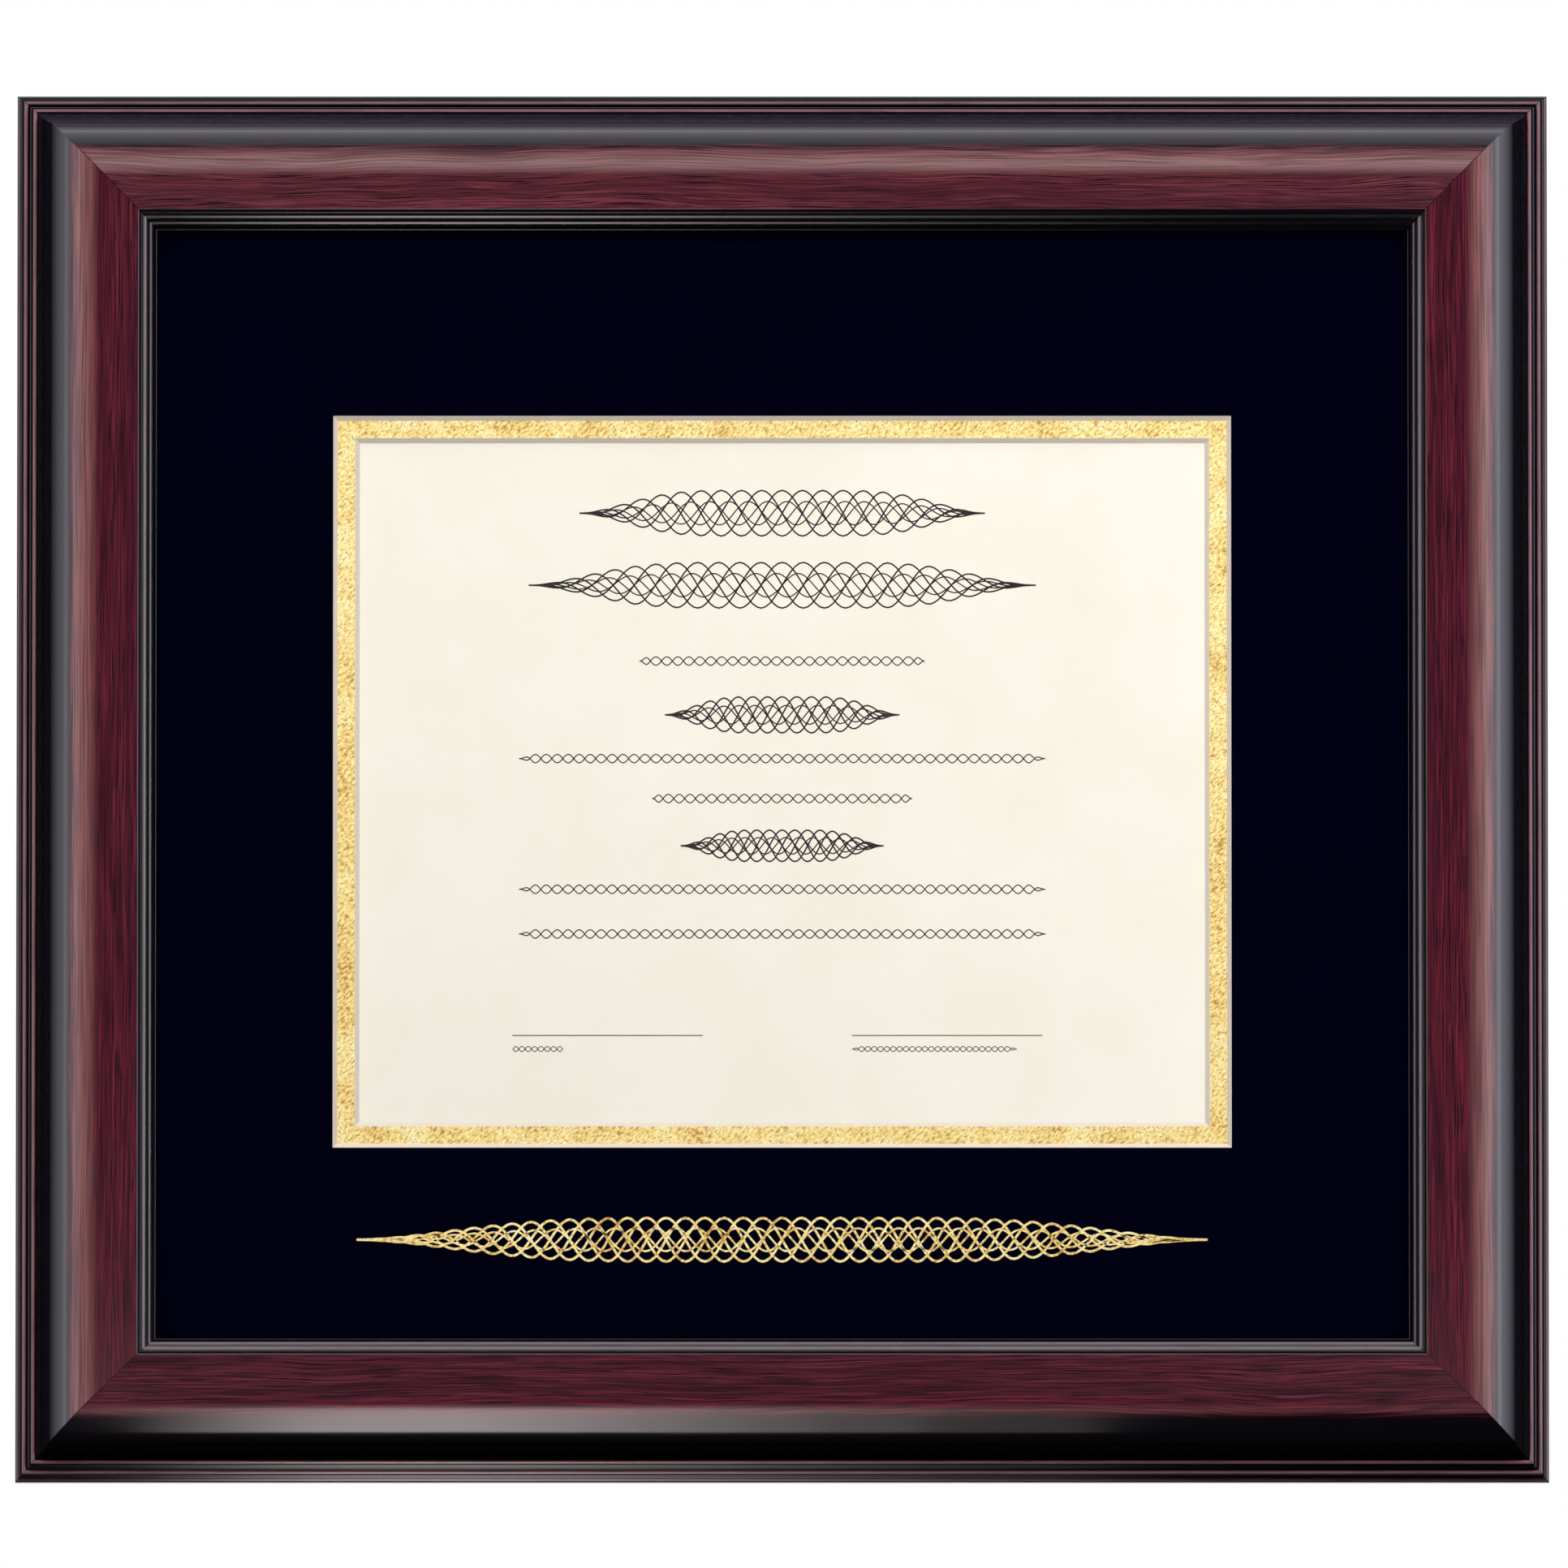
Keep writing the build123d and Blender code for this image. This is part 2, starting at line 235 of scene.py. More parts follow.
def make_piece(name, points, faces, finishes, stands_for=None, body="frame", sharp=28):
    """A piece from points in millimetres. Edges sharper than an angle in degrees stay sharp."""
    mesh = bpy.data.meshes.new(name)
    mesh.from_pydata([[c * MM for c in p] for p in points], [], faces)
    shell = bmesh.new()
    shell.from_mesh(mesh)
    bmesh.ops.recalc_face_normals(shell, faces=shell.faces)
    shell.to_mesh(mesh)
    shell.free()
    mesh.polygons.foreach_set("use_smooth", [True] * len(mesh.polygons))
    mesh.set_sharp_from_angle(angle=math.radians(sharp))
    for finish in finishes:
        mesh.materials.append(finish)
    made = bpy.data.objects.new(name, mesh)
    bpy.context.scene.collection.objects.link(made)
    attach(made, body)
    if stands_for:
        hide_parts(stands_for)
    return made


def dress(node, finish):
    """Gives a solid that stays as it is a new finish."""
    shown = solids[node]
    if not shown.material_slots:
        shown.data.materials.append(finish)
    for held in shown.material_slots:
        held.material = finish


# %% [markdown]
# The moulding is what this frame is known by. From the outer edge it climbs over two reeds, each a
# small step and a round bead, to a flat shelf. From there a steep riser carries the broad roll,
# and the face slopes gently back down to a lip of steps and rounds at the glass. The section is
# drawn here as a line of corners, each with the radius that it is turned on. A machine cutter
# leaves no perfectly sharp edge, so the steps get a quarter of a millimetre, which also lets them
# catch the light. The lip starts with a point that lies on the slope, so that the rounding of its
# first edge doesn't bend the shading of the whole slope.

# %% The section of the moulding
ARRIS = 0.25
NOSE = 3.4
REED_FROM = 1.2
REED_IN, REED_UP = 2.9, 3.1
SHELF = NOSE + 2 * REED_UP
CROWN, ROLL = Vector((21.5, 26.0)), 12.363
ROLL_START, ROLL_END = -59.02, 13.4
LIP, STEP, FIRST_ROUND, LAST_ROUND, SIGHT = 38.6, 39.6, 41.3, 43.0, 44.2
RABBET, SEAT = 37.7, 12.64


def sweep(end, steps, start=0.0):
    """Even angles in radians, between two that are given in degrees."""
    return [math.radians(start + (end - start) * n / steps) for n in range(steps + 1)]


def turned(corners, steps=8):
    """The points of a line through (across, up, radius) corners."""
    line = []
    lasts, nexts = corners[:1] + corners, corners[1:] + corners[-1:]
    for last, (across, up, radius), after in zip(lasts, corners, nexts):
        here = Vector((across, up))
        if radius == 0:
            line.append(here)
            continue
        back = (Vector(last[:2]) - here).normalized()
        on = (Vector(after[:2]) - here).normalized()
        half = back.angle(on) / 2
        centre = here + (back + on).normalized() * radius / math.sin(half)
        start = here + back * radius / math.tan(half) - centre
        way = 1 if back.x * on.y - back.y * on.x < 0 else -1
        for n in range(steps + 1):
            turn = way * (math.pi - 2 * half) * n / steps
            line.append(centre + Matrix.Rotation(turn, 2) @ start)
    return line


def reed(across, up):
    """Corners of a small step and the round bead beyond it."""
    ledge, far, tread, top = across + 0.8, across + 2.3, up + 1.2, up + 3.9
    corners = [(across, up, 0), (across, tread, ARRIS), (ledge, tread, 0)]
    return corners + [(ledge, top, 0.65), (far, top, 0.65), (far, up + REED_UP, 0)]


outside = [(0, 0, 0.3), (0, NOSE, 0.9)] + reed(REED_FROM, NOSE)
outside += reed(REED_FROM + REED_IN, NOSE + REED_UP) + [(7.9, SHELF, 0.4), (10.9, 20.0, 0)]
roll_centre = CROWN - Vector((0, ROLL))
roll_angles = sweep(ROLL_END, 40, ROLL_START)
roll = [roll_centre + ROLL * Vector((math.sin(a), math.cos(a))) for a in roll_angles]
lip = [(LIP - 0.6, 22.413, 0), (LIP, 22.27, ARRIS), (LIP, 21.47, 0), (STEP, 21.47, ARRIS)]
lip += [(STEP, 20.37, 0), (FIRST_ROUND, 20.37, 1.4), (FIRST_ROUND, 18.47, 0)]
lip += [(LAST_ROUND, 18.47, 1.4), (LAST_ROUND, 14.84, 0), (SIGHT, 14.84, ARRIS), (SIGHT, SEAT, 0)]
rabbet = [(RABBET, SEAT, 0), (RABBET, 0, 0.3), (0, 0, 0)]
face_line = turned([(5, 0, 0)] + outside)[1:-1] + roll + turned([(*roll[-1], 0)] + lip)[1:]
back_line = turned([(SIGHT, SEAT, 0)] + rabbet)[1:-1]
print("points round the section:", len(face_line), "in front and", len(back_line), "behind")

# %% [markdown]
# The finish of the rails is built up as a finisher would. The wood is stained a deep red brown,
# with dark pores and fine hairs drawn out along the rail. Black is sprayed over the outer half and
# fades out on the roll, and the lip is black as well. A paler, streaky band on the crest of the roll
# is a painted highlight. Then the crests of the reeds are rubbed back, so that warm brown shows
# through, and the edges of the lip get a grey painted highlight. All of this follows the moulding,
# so each point of a rail carries three numbers with it: how far along the rail it is, how far
# across and how far up. Two more say where the finish is rubbed and where dirt sits in the mitre.
# Image textures would do it too, but noise that is stretched along the rail never repeats and stays
# sharp at any size.

# %% Stained and shaded wood
BLACK = tint(11, 8, 13)
PORE = tint(24, 8, 16)
RUBBED = tint(132, 90, 94)
# Painted highlight: the grey laid on the edge and rounds of the lip.
LIP_HIGHLIGHT_GREY = tint(116, 106, 108)
DIRT = tint(12, 7, 9)


def carried(finish, name, output="Fac"):
    """A number, or a Vector, that the points of a piece carry with them."""
    return finish.node("Attribute", {"attribute_name": name}, None, output)


def shaded_wood(name, figure, seed, tones, crest_highlight_tone, fade, crest, glow, lip_highlight, rub):
    """Stained wood under black, with painted highlights on the crest and the lip. Fade and crest are
    places across the rail, with soft steps.
    """
    wood = Finish(name)
    along, across, up = wood.parts(carried(wood, "grain", "Vector"))
    drift = noise(wood, along * 0.009, across * 0.03, seed, 2) - 0.5
    ripple = noise(wood, along * 0.03, across * 0.07, seed + 3, 1) - 0.5
    line = across + drift * (9 * figure) + ripple * (2.4 * figure)
    bands = noise(wood, along * 0.004, line * 0.2, seed, 2, 0.5)
    fibre = noise(wood, along * 0.027, line * (1.3 + 0.8 * figure), up * 0.2 + seed, 4, 0.6)
    hairs = noise(wood, along * 0.066, line * 4.6, seed + 5, 2, 0.5)
    pores = noise(wood, along * 0.054, line * 2.2, seed + 7, 3, 0.5)
    flecks = step(wood, pores, 0.52, 0.62) * step(wood, bands, 0.3, 0.6, 0.45, 1.0)
    uneven = step(wood, noise(wood, along * 0.05, across, seed), 0.25, 0.6, 0.55, 1.0)

    tone = bands * 0.2 + fibre * 0.65 + hairs * 0.3
    red = ramp(wood, tone, *zip((0.41, 0.57, 0.73), tones))
    red = blend(wood, flecks * 0.9, red, PORE)
    ragged = across + (fibre - 0.5) * 3
    # A paler, streaky band across the crest of the roll is a painted highlight; glow sets how strong it is
    # on each rail.
    painted_crest_highlight = step(wood, ragged, *crest[:2]) * step(wood, ragged, *crest[2:], glow, 0.0)
    red = blend(wood, painted_crest_highlight * step(wood, fibre, 0.38, 0.62, 0.5, 1.0), red, crest_highlight_tone)
    shade = step(wood, ragged, *fade) * (1 - step(wood, across, LIP - 0.25, LIP))
    colour = blend(wood, shade, BLACK, red)
    rubbed = step(wood, carried(wood, "rubbed"), *rub)
    colour = blend(wood, rubbed * uneven, colour, RUBBED)

    # The grey on the lip's edge and rounds is a painted highlight, as strong as each rail's setting says.
    arris = step(wood, across, LIP + 0.15, LIP + 0.3, lip_highlight[0] / 2, 0.0)
    arris = arris * step(wood, across, LIP - 0.3, LIP - 0.15)
    rounds = step(wood, across, FIRST_ROUND - 0.8, FIRST_ROUND, *lip_highlight)
    rounds = rounds * step(wood, across, STEP + 0.15, STEP + 0.4)
    rounds = rounds * step(wood, across, LAST_ROUND - 0.2, LAST_ROUND + 0.2, 1.0, 0.0)
    colour = blend(wood, (arris + rounds) * (uneven * 0.5 + 0.5), colour, LIP_HIGHLIGHT_GREY)
    colour = blend(wood, carried(wood, "mitre") * 0.85, colour, DIRT)

    grain = hairs * 0.3 + fibre * 0.3 + (1 - flecks) * shade
    sheen = 0.17 + shade * 0.07 + (fibre - 0.5) * 0.08 + (hairs - 0.5) * 0.05
    return surface(wood, colour, sheen, bump(wood, grain, 0.012, 0.4), {"Specular IOR Level": 0.6})


print("where the lip starts:", LIP, "mm from the outer edge")

# %% [markdown]
# No two lengths of wood are alike, and a finisher never sprays two rails alike. So the top rail,
# the bottom rail and the two sides have a finish each: their own grain, tones and fade, with the
# top rail's tones the lightest and the bottom rail's the darkest. Each also gets its own painted
# highlight on the crest and on the lip, as each rail catches the lamps in its own way. One finish
# for all would be quicker, but the eye finds the repeat at once. The recess between reeds and roll
# is another matter: no polish reaches it, so it gets a matt, slightly dusty black, with painted
# light and shade in its tone: lighter on the top rail and the sides, almost black on the bottom.

# %% Three woods and their recesses
# Each rail's crest tone, glow and lip setting are painted highlights, set rail by rail.
top_wood = shaded_wood(
    "top_mahogany", figure=1.0, seed=2.0,
    tones=(tint(46, 20, 29), tint(81, 34, 44), tint(124, 57, 67)), crest_highlight_tone=tint(149, 116, 115),
    fade=(17.5, 21.1), crest=(18.2, 25.4, 24.4, 28.4), glow=1.0,
    lip_highlight=(0.06, 0.0), rub=(0.5, 0.95),
)
low_wood = shaded_wood(
    "low_mahogany", figure=0.8, seed=5.0,
    tones=(tint(27, 4, 14), tint(61, 14, 29), tint(108, 29, 45)), crest_highlight_tone=tint(150, 106, 104),
    fade=(17.4, 20.6), crest=(18.4, 20.2, 21.2, 23.0), glow=0.15,
    lip_highlight=(0.75, 0.6), rub=(0.0, 1.0),
)
side_wood = shaded_wood(
    "side_mahogany", figure=0.25, seed=11.0,
    tones=(tint(38, 8, 19), tint(68, 18, 33), tint(112, 34, 49)), crest_highlight_tone=tint(150, 106, 104),
    fade=(15.6, 19.0), crest=(16.0, 19.0, 21.6, 26.6), glow=0.64,
    lip_highlight=(0.65, 0.05), rub=(0.0, 1.0),
)


def recess_black(name, dark, light):
    """Matt black with a little dust in it, its dark and light tones painting the rail's light or shade."""
    spray = Finish(name)
    along, across, up = spray.parts(carried(spray, "grain", "Vector"))
    dust = noise(spray, along * 0.4, across * 1.2, up * 0.6, 4, 0.6)
    colour = ramp(spray, dust, (0.35, dark), (0.75, light))
    relief = bump(spray, dust, 0.02)
    return surface(spray, colour, 0.45 + dust * 0.2, relief, {"Specular IOR Level": 0.0})


# Painted light and shade: the top rail's recess is lightest, as if lit from above, the sides' less so, and
# the bottom rail's almost black, as if in shade.
top_recess_painted_light = recess_black("top_recess_painted_light", tint(30, 28, 36), tint(46, 43, 53))
low_recess_painted_shade = recess_black("low_recess_painted_shade", tint(5, 2, 4), tint(10, 6, 9))
side_recess_painted_light = recess_black("side_recess_painted_light", tint(16, 13, 19), tint(27, 24, 31))
print("woods:", [finish.name for finish in (top_wood, low_wood, side_wood)])

# %% [markdown]
# The back of a moulding is left as the planer leaves it: pale wood with fine ripples across the
# rail from the knives, and a dusting of black where the spray came round the outer edge. The
# ripples could be modelled, but they are only hundredths of a millimetre high, so a bump does.

# %% Bare wood for the back
def bare_wood():
    wood = Finish("bare_wood")
    along, across, up = wood.parts(carried(wood, "grain", "Vector"))
    drift = noise(wood, along * 0.02, across * 0.06, 4, 2) - 0.5
    line = across + drift * 12
    bands = noise(wood, along * 0.006, line * 0.35, up * 0.3)
    fibre = noise(wood, along * 0.05, line * 3.0, up * 3, 4, 0.65)
    knife = noise(wood, along * 1.1, across * 0.02, 9, 1)
    pores = step(wood, noise(wood, along * 0.12, line * 3.4, 6, 2), 0.6, 0.7)
    tone = bands * 0.6 + fibre * 0.5
    colour = ramp(wood, tone, (0.35, tint(150, 112, 78)), (0.7, tint(196, 162, 122)))
    colour = blend(wood, pores * 0.5, colour, tint(112, 78, 52))
    spray = step(wood, across + (fibre - 0.5) * 3, 0.2, 5.0, 0.95, 0.0)
    colour = blend(wood, spray, colour, tint(24, 19, 20))
    relief = bump(wood, fibre * 0.5 + knife * 0.5, 0.06)
    return surface(wood, colour, 0.62 + fibre * 0.2, relief)


back_wood = bare_wood()
print("finish:", back_wood.name)

# %% [markdown]
# Now the rails themselves. A moulding could be swept along a path by a curve's bevel, but a frame
# has mitred corners. So the section is simply set at both ends of a rail, and each of its points is
# cut back by its own distance from the outer edge. One more copy stands a hair's breadth from each
# end, so that the dark line of the mitre has somewhere to fade out. The four rails are the same but
# for their length, their finish and their turn about the centre.

# %% Four mitred rails
MITRE_GAP, MITRE_LINE = 0.01, 0.35
RECESS = (6.35, 10.8)


def rub_at(across, up):
    """How far the finish is rubbed back: on the crest of each bead and on the outer nose."""
    crests = [(2.75 + REED_IN * n, 7.3 + REED_UP * n, 0.7, 1.4) for n in range(2)]
    crests.append((0.5, NOSE, 1.2, 0.5))
    rubs = [rub * (1 - math.hypot(across - u, (up - v) * 0.8) / reach) for u, v, reach, rub in crests]
    return min(1.0, max(0.0, *rubs))


def make_rail(side, length, edge, turn, finish, recess, offset):
    """A rail made level along the top edge, and then turned to its side of the frame."""
    section = [tuple(p) for p in face_line + back_line]
    count = len(section)
    turned_by = Matrix.Rotation(math.radians(turn), 3, "Y")
    points, grain, rubbed, mitre = [], [], [], []
    for way, cut in ((-1, 0.0), (-1, MITRE_LINE), (1, MITRE_LINE), (1, 0.0)):
        for across, up in section:
            along = way * (length / 2 - across - cut - MITRE_GAP)
            points.append(turned_by @ Vector((along, BACK - up, edge - across)))
            grain += [along + offset, across, up]
            rubbed.append(rub_at(across, up))
            mitre.append(1.0 if cut == 0 else 0.0)
    finishes = [finish, back_wood, recess]
    faces = tube(count, 3)
    rail = make_piece("moulding_" + side, points, faces, finishes, "rail_" + side)
    for face in rail.data.polygons[2:]:
        n = (face.index - 2) % count
        if n >= len(face_line) - 1:
            face.material_index = finishes.index(back_wood)
        elif RECESS[0] < section[n][0] < RECESS[1]:
            face.material_index = finishes.index(recess)
    carries = rail.data.attributes
    carries.new("grain", "FLOAT_VECTOR", "POINT").data.foreach_set("vector", grain)
    carries.new("rubbed", "FLOAT", "POINT").data.foreach_set("value", rubbed)
    carries.new("mitre", "FLOAT", "POINT").data.foreach_set("value", mitre)
    return rail


rails = [
    make_rail("top", WIDTH, HEIGHT / 2, 0, top_wood, top_recess_painted_light, 0),
    make_rail("right", HEIGHT, WIDTH / 2, 90, side_wood, side_recess_painted_light, 700),
    make_rail("bottom", WIDTH, HEIGHT / 2, 180, low_wood, low_recess_painted_shade, 1400),
    make_rail("left", HEIGHT, WIDTH / 2, 270, side_wood, side_recess_painted_light, 2100),
]
print("faces in a rail:", len(rails[0].data.polygons))

# %% [markdown]
# A mat is a board of pressed paper with a coloured sheet glued to its face. Its window is cut at a
# slant, so the white core shows as a thin bright line. The solid already has that slant, so the
# mats stay as they are. Face and cut could have a material each, but then faces of the solid would
# have to be marked. So one finish tells them apart by itself: the part of the normal that points
# out of the picture is 1 on the face and less on the slant.

# %% Mat boards with a white core
CORE_ROUGH = 0.95


def mat_board(face, height, depth, gloss, rough, metal=0.0):
    """A mat whose face has this colour, and whose cuts and back show the core."""
    board = face.finish
    normal = board.node("TexCoord", None, None, "Normal")
    front = step(board, 0 - board.parts(normal)[1], 0.85, 0.95)
    x, y, z = millimetres(board)
    pulp = noise(board, x * 2.2, y * 6, z * 2.2)
    core = ramp(board, pulp, (0.3, tint(208, 196, 182)), (0.7, tint(230, 220, 207)))
    colour = blend(board, front, core, face)
    relief = bump(board, height * front + pulp * 0.2, depth, 0.6)
    others = {"Specular IOR Level": gloss}
    if metal:
        others["Metallic"] = metal * front
    return surface(board, colour, (rough - CORE_ROUGH) * front + CORE_ROUGH, relief, others)


def night_mat():
    board = Finish("night_blue_mat")
    x, y, z = millimetres(board)
    tooth = noise(board, x * 3.1, y, z * 3.1, 4, 0.65)
    cloud = noise(board, x * 0.02, y, z * 0.02, 2)
    face = ramp(board, tooth * 0.7 + cloud * 0.3, (0.3, tint(1, 1, 15)), (0.7, tint(3, 3, 20)))
    return mat_board(face, tooth, 0.03, 0.01, 0.9 + tooth * 0.1)


dress("outer_mat", night_mat())
print("outer mat dressed")

# %% [markdown]
# The inner mat is faced with gold leaf on a crinkled paper. Leaf could be made as pure metal, but a
# metal shows only what stands round it, and leaf this thin and broken scatters much of the light.
# So it is metal only in part: pale gold in its base colour, with painted shade in the folds, where
# the colour turns brown, and painted glints on small bright flats.

# %% Crinkled gold leaf
LEAF_METAL = 0.2


def gold_leaf(finish, x, y, z):
    """Colour, height and roughness of the leaf at a place in millimetres."""
    bend = (noise(finish, x * 0.5, y, z * 0.5, 2) - 0.5) * 1.2
    along, across = (x + z) * 0.5 + bend, (z - x) * 0.95 - bend
    folds = noise(finish, along, y, across, 4, 0.62, scale=0.9)
    specks = noise(finish, along * 1.4, y + 5, across * 1.5, 2, 0.5)
    clouds = noise(finish, x * 0.09, y + 9, z * 0.09, 2)
    # The folds set the colour: brown where they sink is painted shade, near white where they rise is a
    # painted glint, and the clouds are the leaf's own tone.
    tone = folds * 0.75 + clouds * 0.35
    dull, bright = (0.42, tint(174, 128, 58)), (0.7, tint(250, 240, 200))
    golds = (0.52, tint(238, 206, 127)), (0.6, tint(245, 227, 156))
    colour = ramp(finish, tone, dull, *golds, bright)
    dark = step(finish, specks, 0.56, 0.66) * step(finish, clouds, 0.35, 0.6)
    colour = blend(finish, dark * 0.75, colour, tint(122, 84, 36))
    return colour, folds - dark * 0.4, 0.42 - (folds - 0.5) * 0.3


def gold_mat():
    board = Finish("gold_leaf_mat")
    colour, height, rough = gold_leaf(board, *millimetres(board))
    return mat_board(colour, height, 0.16, 0.4, rough, LEAF_METAL)


dress("inner_mat", gold_mat())
print("inner mat dressed")

# %% [markdown]
# The sheet is a heavy ivory paper. A scan of paper could be laid on it, but it has no pattern that
# shows from far off, only a slight cloudy tone, and the tooth of its fibres when the light rakes
# across it. Two kinds of noise are enough for that.

# %% Ivory paper
def ivory_paper():
    sheet = Finish("ivory_paper")
    x, y, z = millimetres(sheet)
    cloud = noise(sheet, x * 0.03, y, z * 0.03)
    fibre = noise(sheet, x * 1.7, y, z * 4.0, 4, 0.7)
    tone = cloud * 0.6 + fibre * 0.4
    colour = ramp(sheet, tone, (0.3, tint(244, 236, 219)), (0.7, tint(249, 243, 229)))
    relief = bump(sheet, fibre, 0.015, 0.4)
    return surface(sheet, colour, 0.82 + fibre * 0.1, relief, {"Specular IOR Level": 0.3})


dress("certificate", ivory_paper())
print("sheet dressed")

# %% [markdown]
# The glass covers everything, so it must not spoil what lies under it. A plain pane would lay a
# grey veil over the dark mat and stop the lamps from reaching the paper. This one is picture glass
# with a coating against reflections, so it bends and mirrors far less than bare glass. A Mix Shader
# turns it transparent for the rays that carry light, the shadow rays and the diffuse ones, so that
# light passes in and out. It stands a little clear of the mat, because two surfaces in one place
# confuse the renderer. Its edges are seamed, as a glazier leaves them.

# %% A pane of picture glass
COATED_IOR = 1.12
CORNERS = ((-1, -1), (1, -1), (1, 1), (-1, 1))


def ray(finish, kind):
    """1 for rays of this kind, and 0 for all others."""
    return finish.node("LightPath", None, None, f"Is {kind} Ray")


def picture_glass():
    pane = Finish("picture_glass")
    x, y, z = millimetres(pane)
    film = noise(pane, x * 0.02, y * 0.02, z * 0.02, 2)
    inputs = {"Base Color": (0.985, 0.995, 0.99, 1), "IOR": COATED_IOR, "Transmission Weight": 1.0}
    inputs["Roughness"] = step(pane, film, 0.3, 0.7, 0.0, 0.02)
    clear = pane.node("BsdfPrincipled", None, inputs)
    let_through = pane.node("BsdfTransparent", None, {"Color": (0.97, 0.98, 0.975, 1)})
    light = ray(pane, "Shadow") + ray(pane, "Diffuse")
    both = pane.node("MixShader", None, {0: light, 1: clear, 2: let_through})
    pane.node("OutputMaterial", None, {"Surface": both})
    return pane.owner


def make_pane():
    low, high = box_of("glass")
    seam, clear = 0.35, 0.05
    back = high.y - clear
    points = []
    for y, inset in ((back, seam), (back - seam, 0), (low.y + seam, 0), (low.y, seam)):
        points += [(sx * (high.x - inset), y, sz * (high.z - inset)) for sx, sz in CORNERS]
    return make_piece("glass_pane", points, tube(4, 3), [picture_glass()], "glass")


pane = make_pane()
print("pane:", [round(v, 4) for v in pane.dimensions])

# %% [markdown]
# The sheet carries ornament in ink: broad woven bands, fine ones between them and two plain rules
# near its foot. The mat has one broad band in leaf. Ink could be drawn into the paper's finish with
# more shader sums, but thin shapes stay crisp from close by and in any program. So each line is a
# flat solid a few hundredths of a millimetre thick. All the lines of one colour are gathered into
# one mesh.

# %% Flat lines with a little thickness
class Marks:
    """Lines on a face at this depth, gathered as points and faces in millimetres."""

    def __init__(self, depth, thickness):
        self.depth = depth
        self.thickness = thickness
        self.points = []
        self.faces = []

    def ribbon(self, path, width, lift=0.0):
        """A line of this width along a path of (x, z) points."""
        first, spots = len(self.points), [Vector(p) for p in path]
        for n, spot in enumerate(spots):
            before = spot - spots[n - 1] if n else spots[1] - spot
            after = spots[n + 1] - spot if n < len(spots) - 1 else before
            middle = (before.normalized() + after.normalized()).normalized()
            widened = width / 2 / max(0.3, middle.dot(after.normalized()))
            side = Vector((-middle.y, middle.x)) * widened
            for edge, y in ((side, 0), (-side, 0), (-side, -self.thickness), (side, -self.thickness)):
                self.points.append((spot.x + edge.x, self.depth + y - lift, spot.y + edge.y))
        self.faces += tube(4, len(spots) - 1, first)


ink_marks = Marks(box_of("certificate")[0].y, 0.03)
leaf_marks = Marks(box_of("outer_mat")[0].y, 0.04)
print("ink lies at", round(ink_marks.depth, 2), "and leaf at", round(leaf_marks.depth, 2))

# %% [markdown]
# The bands are engine turned, as on banknotes and old certificates. A lathe for that work draws one
# wave after another, each a little further on, so that the lines weave through each other. Points
# could be drawn by hand, but a sine wave is what the lathe really draws. Here two families of
# waves, a high one and a low one, swell from nothing at both ends, which gives a band that comes to
# a point. Each strand lies a few thousandths of a millimetre over the last, so that no two share a
# surface where they cross. Heights on the sheet are counted from its middle.

# %% Woven bands
BROAD_BANDS = ((85.6, 128, 15.0), (62.7, 160, 15.0), (21.5, 74, 12.0), (-20.1, 64, 10.5))
FINE_BANDS = ((38.6, 45), (7.6, 83), (-5.1, 41), (-33.9, 83), (-48.1, 83))
RULES = ((-85, -25, -69), (22, 82, 74))
RULE_UP, RULE_WIDTH, BAND_BELOW = -80.3, 0.3, 4.3
LEAF_UP, LEAF_LENGTH, LEAF_HEIGHT = -145.4, 268, 14.6
INK_LINE, LEAF_LINE = 0.5, 0.75
STRAND_LIFT = 0.003
WAVE_POINTS = 20


def weave(marks, z, start, end, height, wave, strands, width, taper):
    """Waves that follow one another along a band, and die out over a share of it at both ends."""
    turns = max(2, round((end - start) / wave))
    count = turns * WAVE_POINTS
    for strand in range(strands):
        path = []
        for n in range(count + 1):
            share = n / count
            swell = min(1.0, 4 * share * (1 - share) / taper)
            swell *= swell * (3 - 2 * swell)
            turn = 2 * math.pi * (turns * share + strand / strands)
            path.append((start + (end - start) * share, z + height / 2 * swell * math.sin(turn)))
        marks.ribbon(path, width, STRAND_LIFT * strand)


def pointed_band(marks, z, length, height, line):
    """A high family of waves and a low one, in one band."""
    weave(marks, z, -length / 2, length / 2, height - line, 1.7 * height, 4, line, 0.9)
    weave(marks, z, -length / 2, length / 2, 0.5 * height, 1.3 * height, 3, 0.8 * line, 0.9)


middle = sum(box_of("certificate"), Vector()) / 2
for up, length, height in BROAD_BANDS:
    pointed_band(ink_marks, middle.z + up, length, height, INK_LINE)
for up, half in FINE_BANDS:
    weave(ink_marks, middle.z + up, -half, half, 2.7, 7.0, 2, 0.36, 0.12)
rule = middle.z + RULE_UP
for start, end, band_end in RULES:
    ink_marks.ribbon([(start, rule), (end, rule)], RULE_WIDTH)
    weave(ink_marks, rule - BAND_BELOW, start, band_end, 1.6, 4.0, 2, 0.26, 0.2)
pointed_band(leaf_marks, middle.z + LEAF_UP, LEAF_LENGTH, LEAF_HEIGHT, LEAF_LINE)
print("points of ink:", len(ink_marks.points), "and of leaf:", len(leaf_marks.points))

# %% [markdown]
# Printing ink is a soft black that lets a little of the paper's tooth through. A plain black would
# look like a hole in the sheet. The band on the mat is pressed from the same leaf as the inner mat,
# so it uses that recipe again.

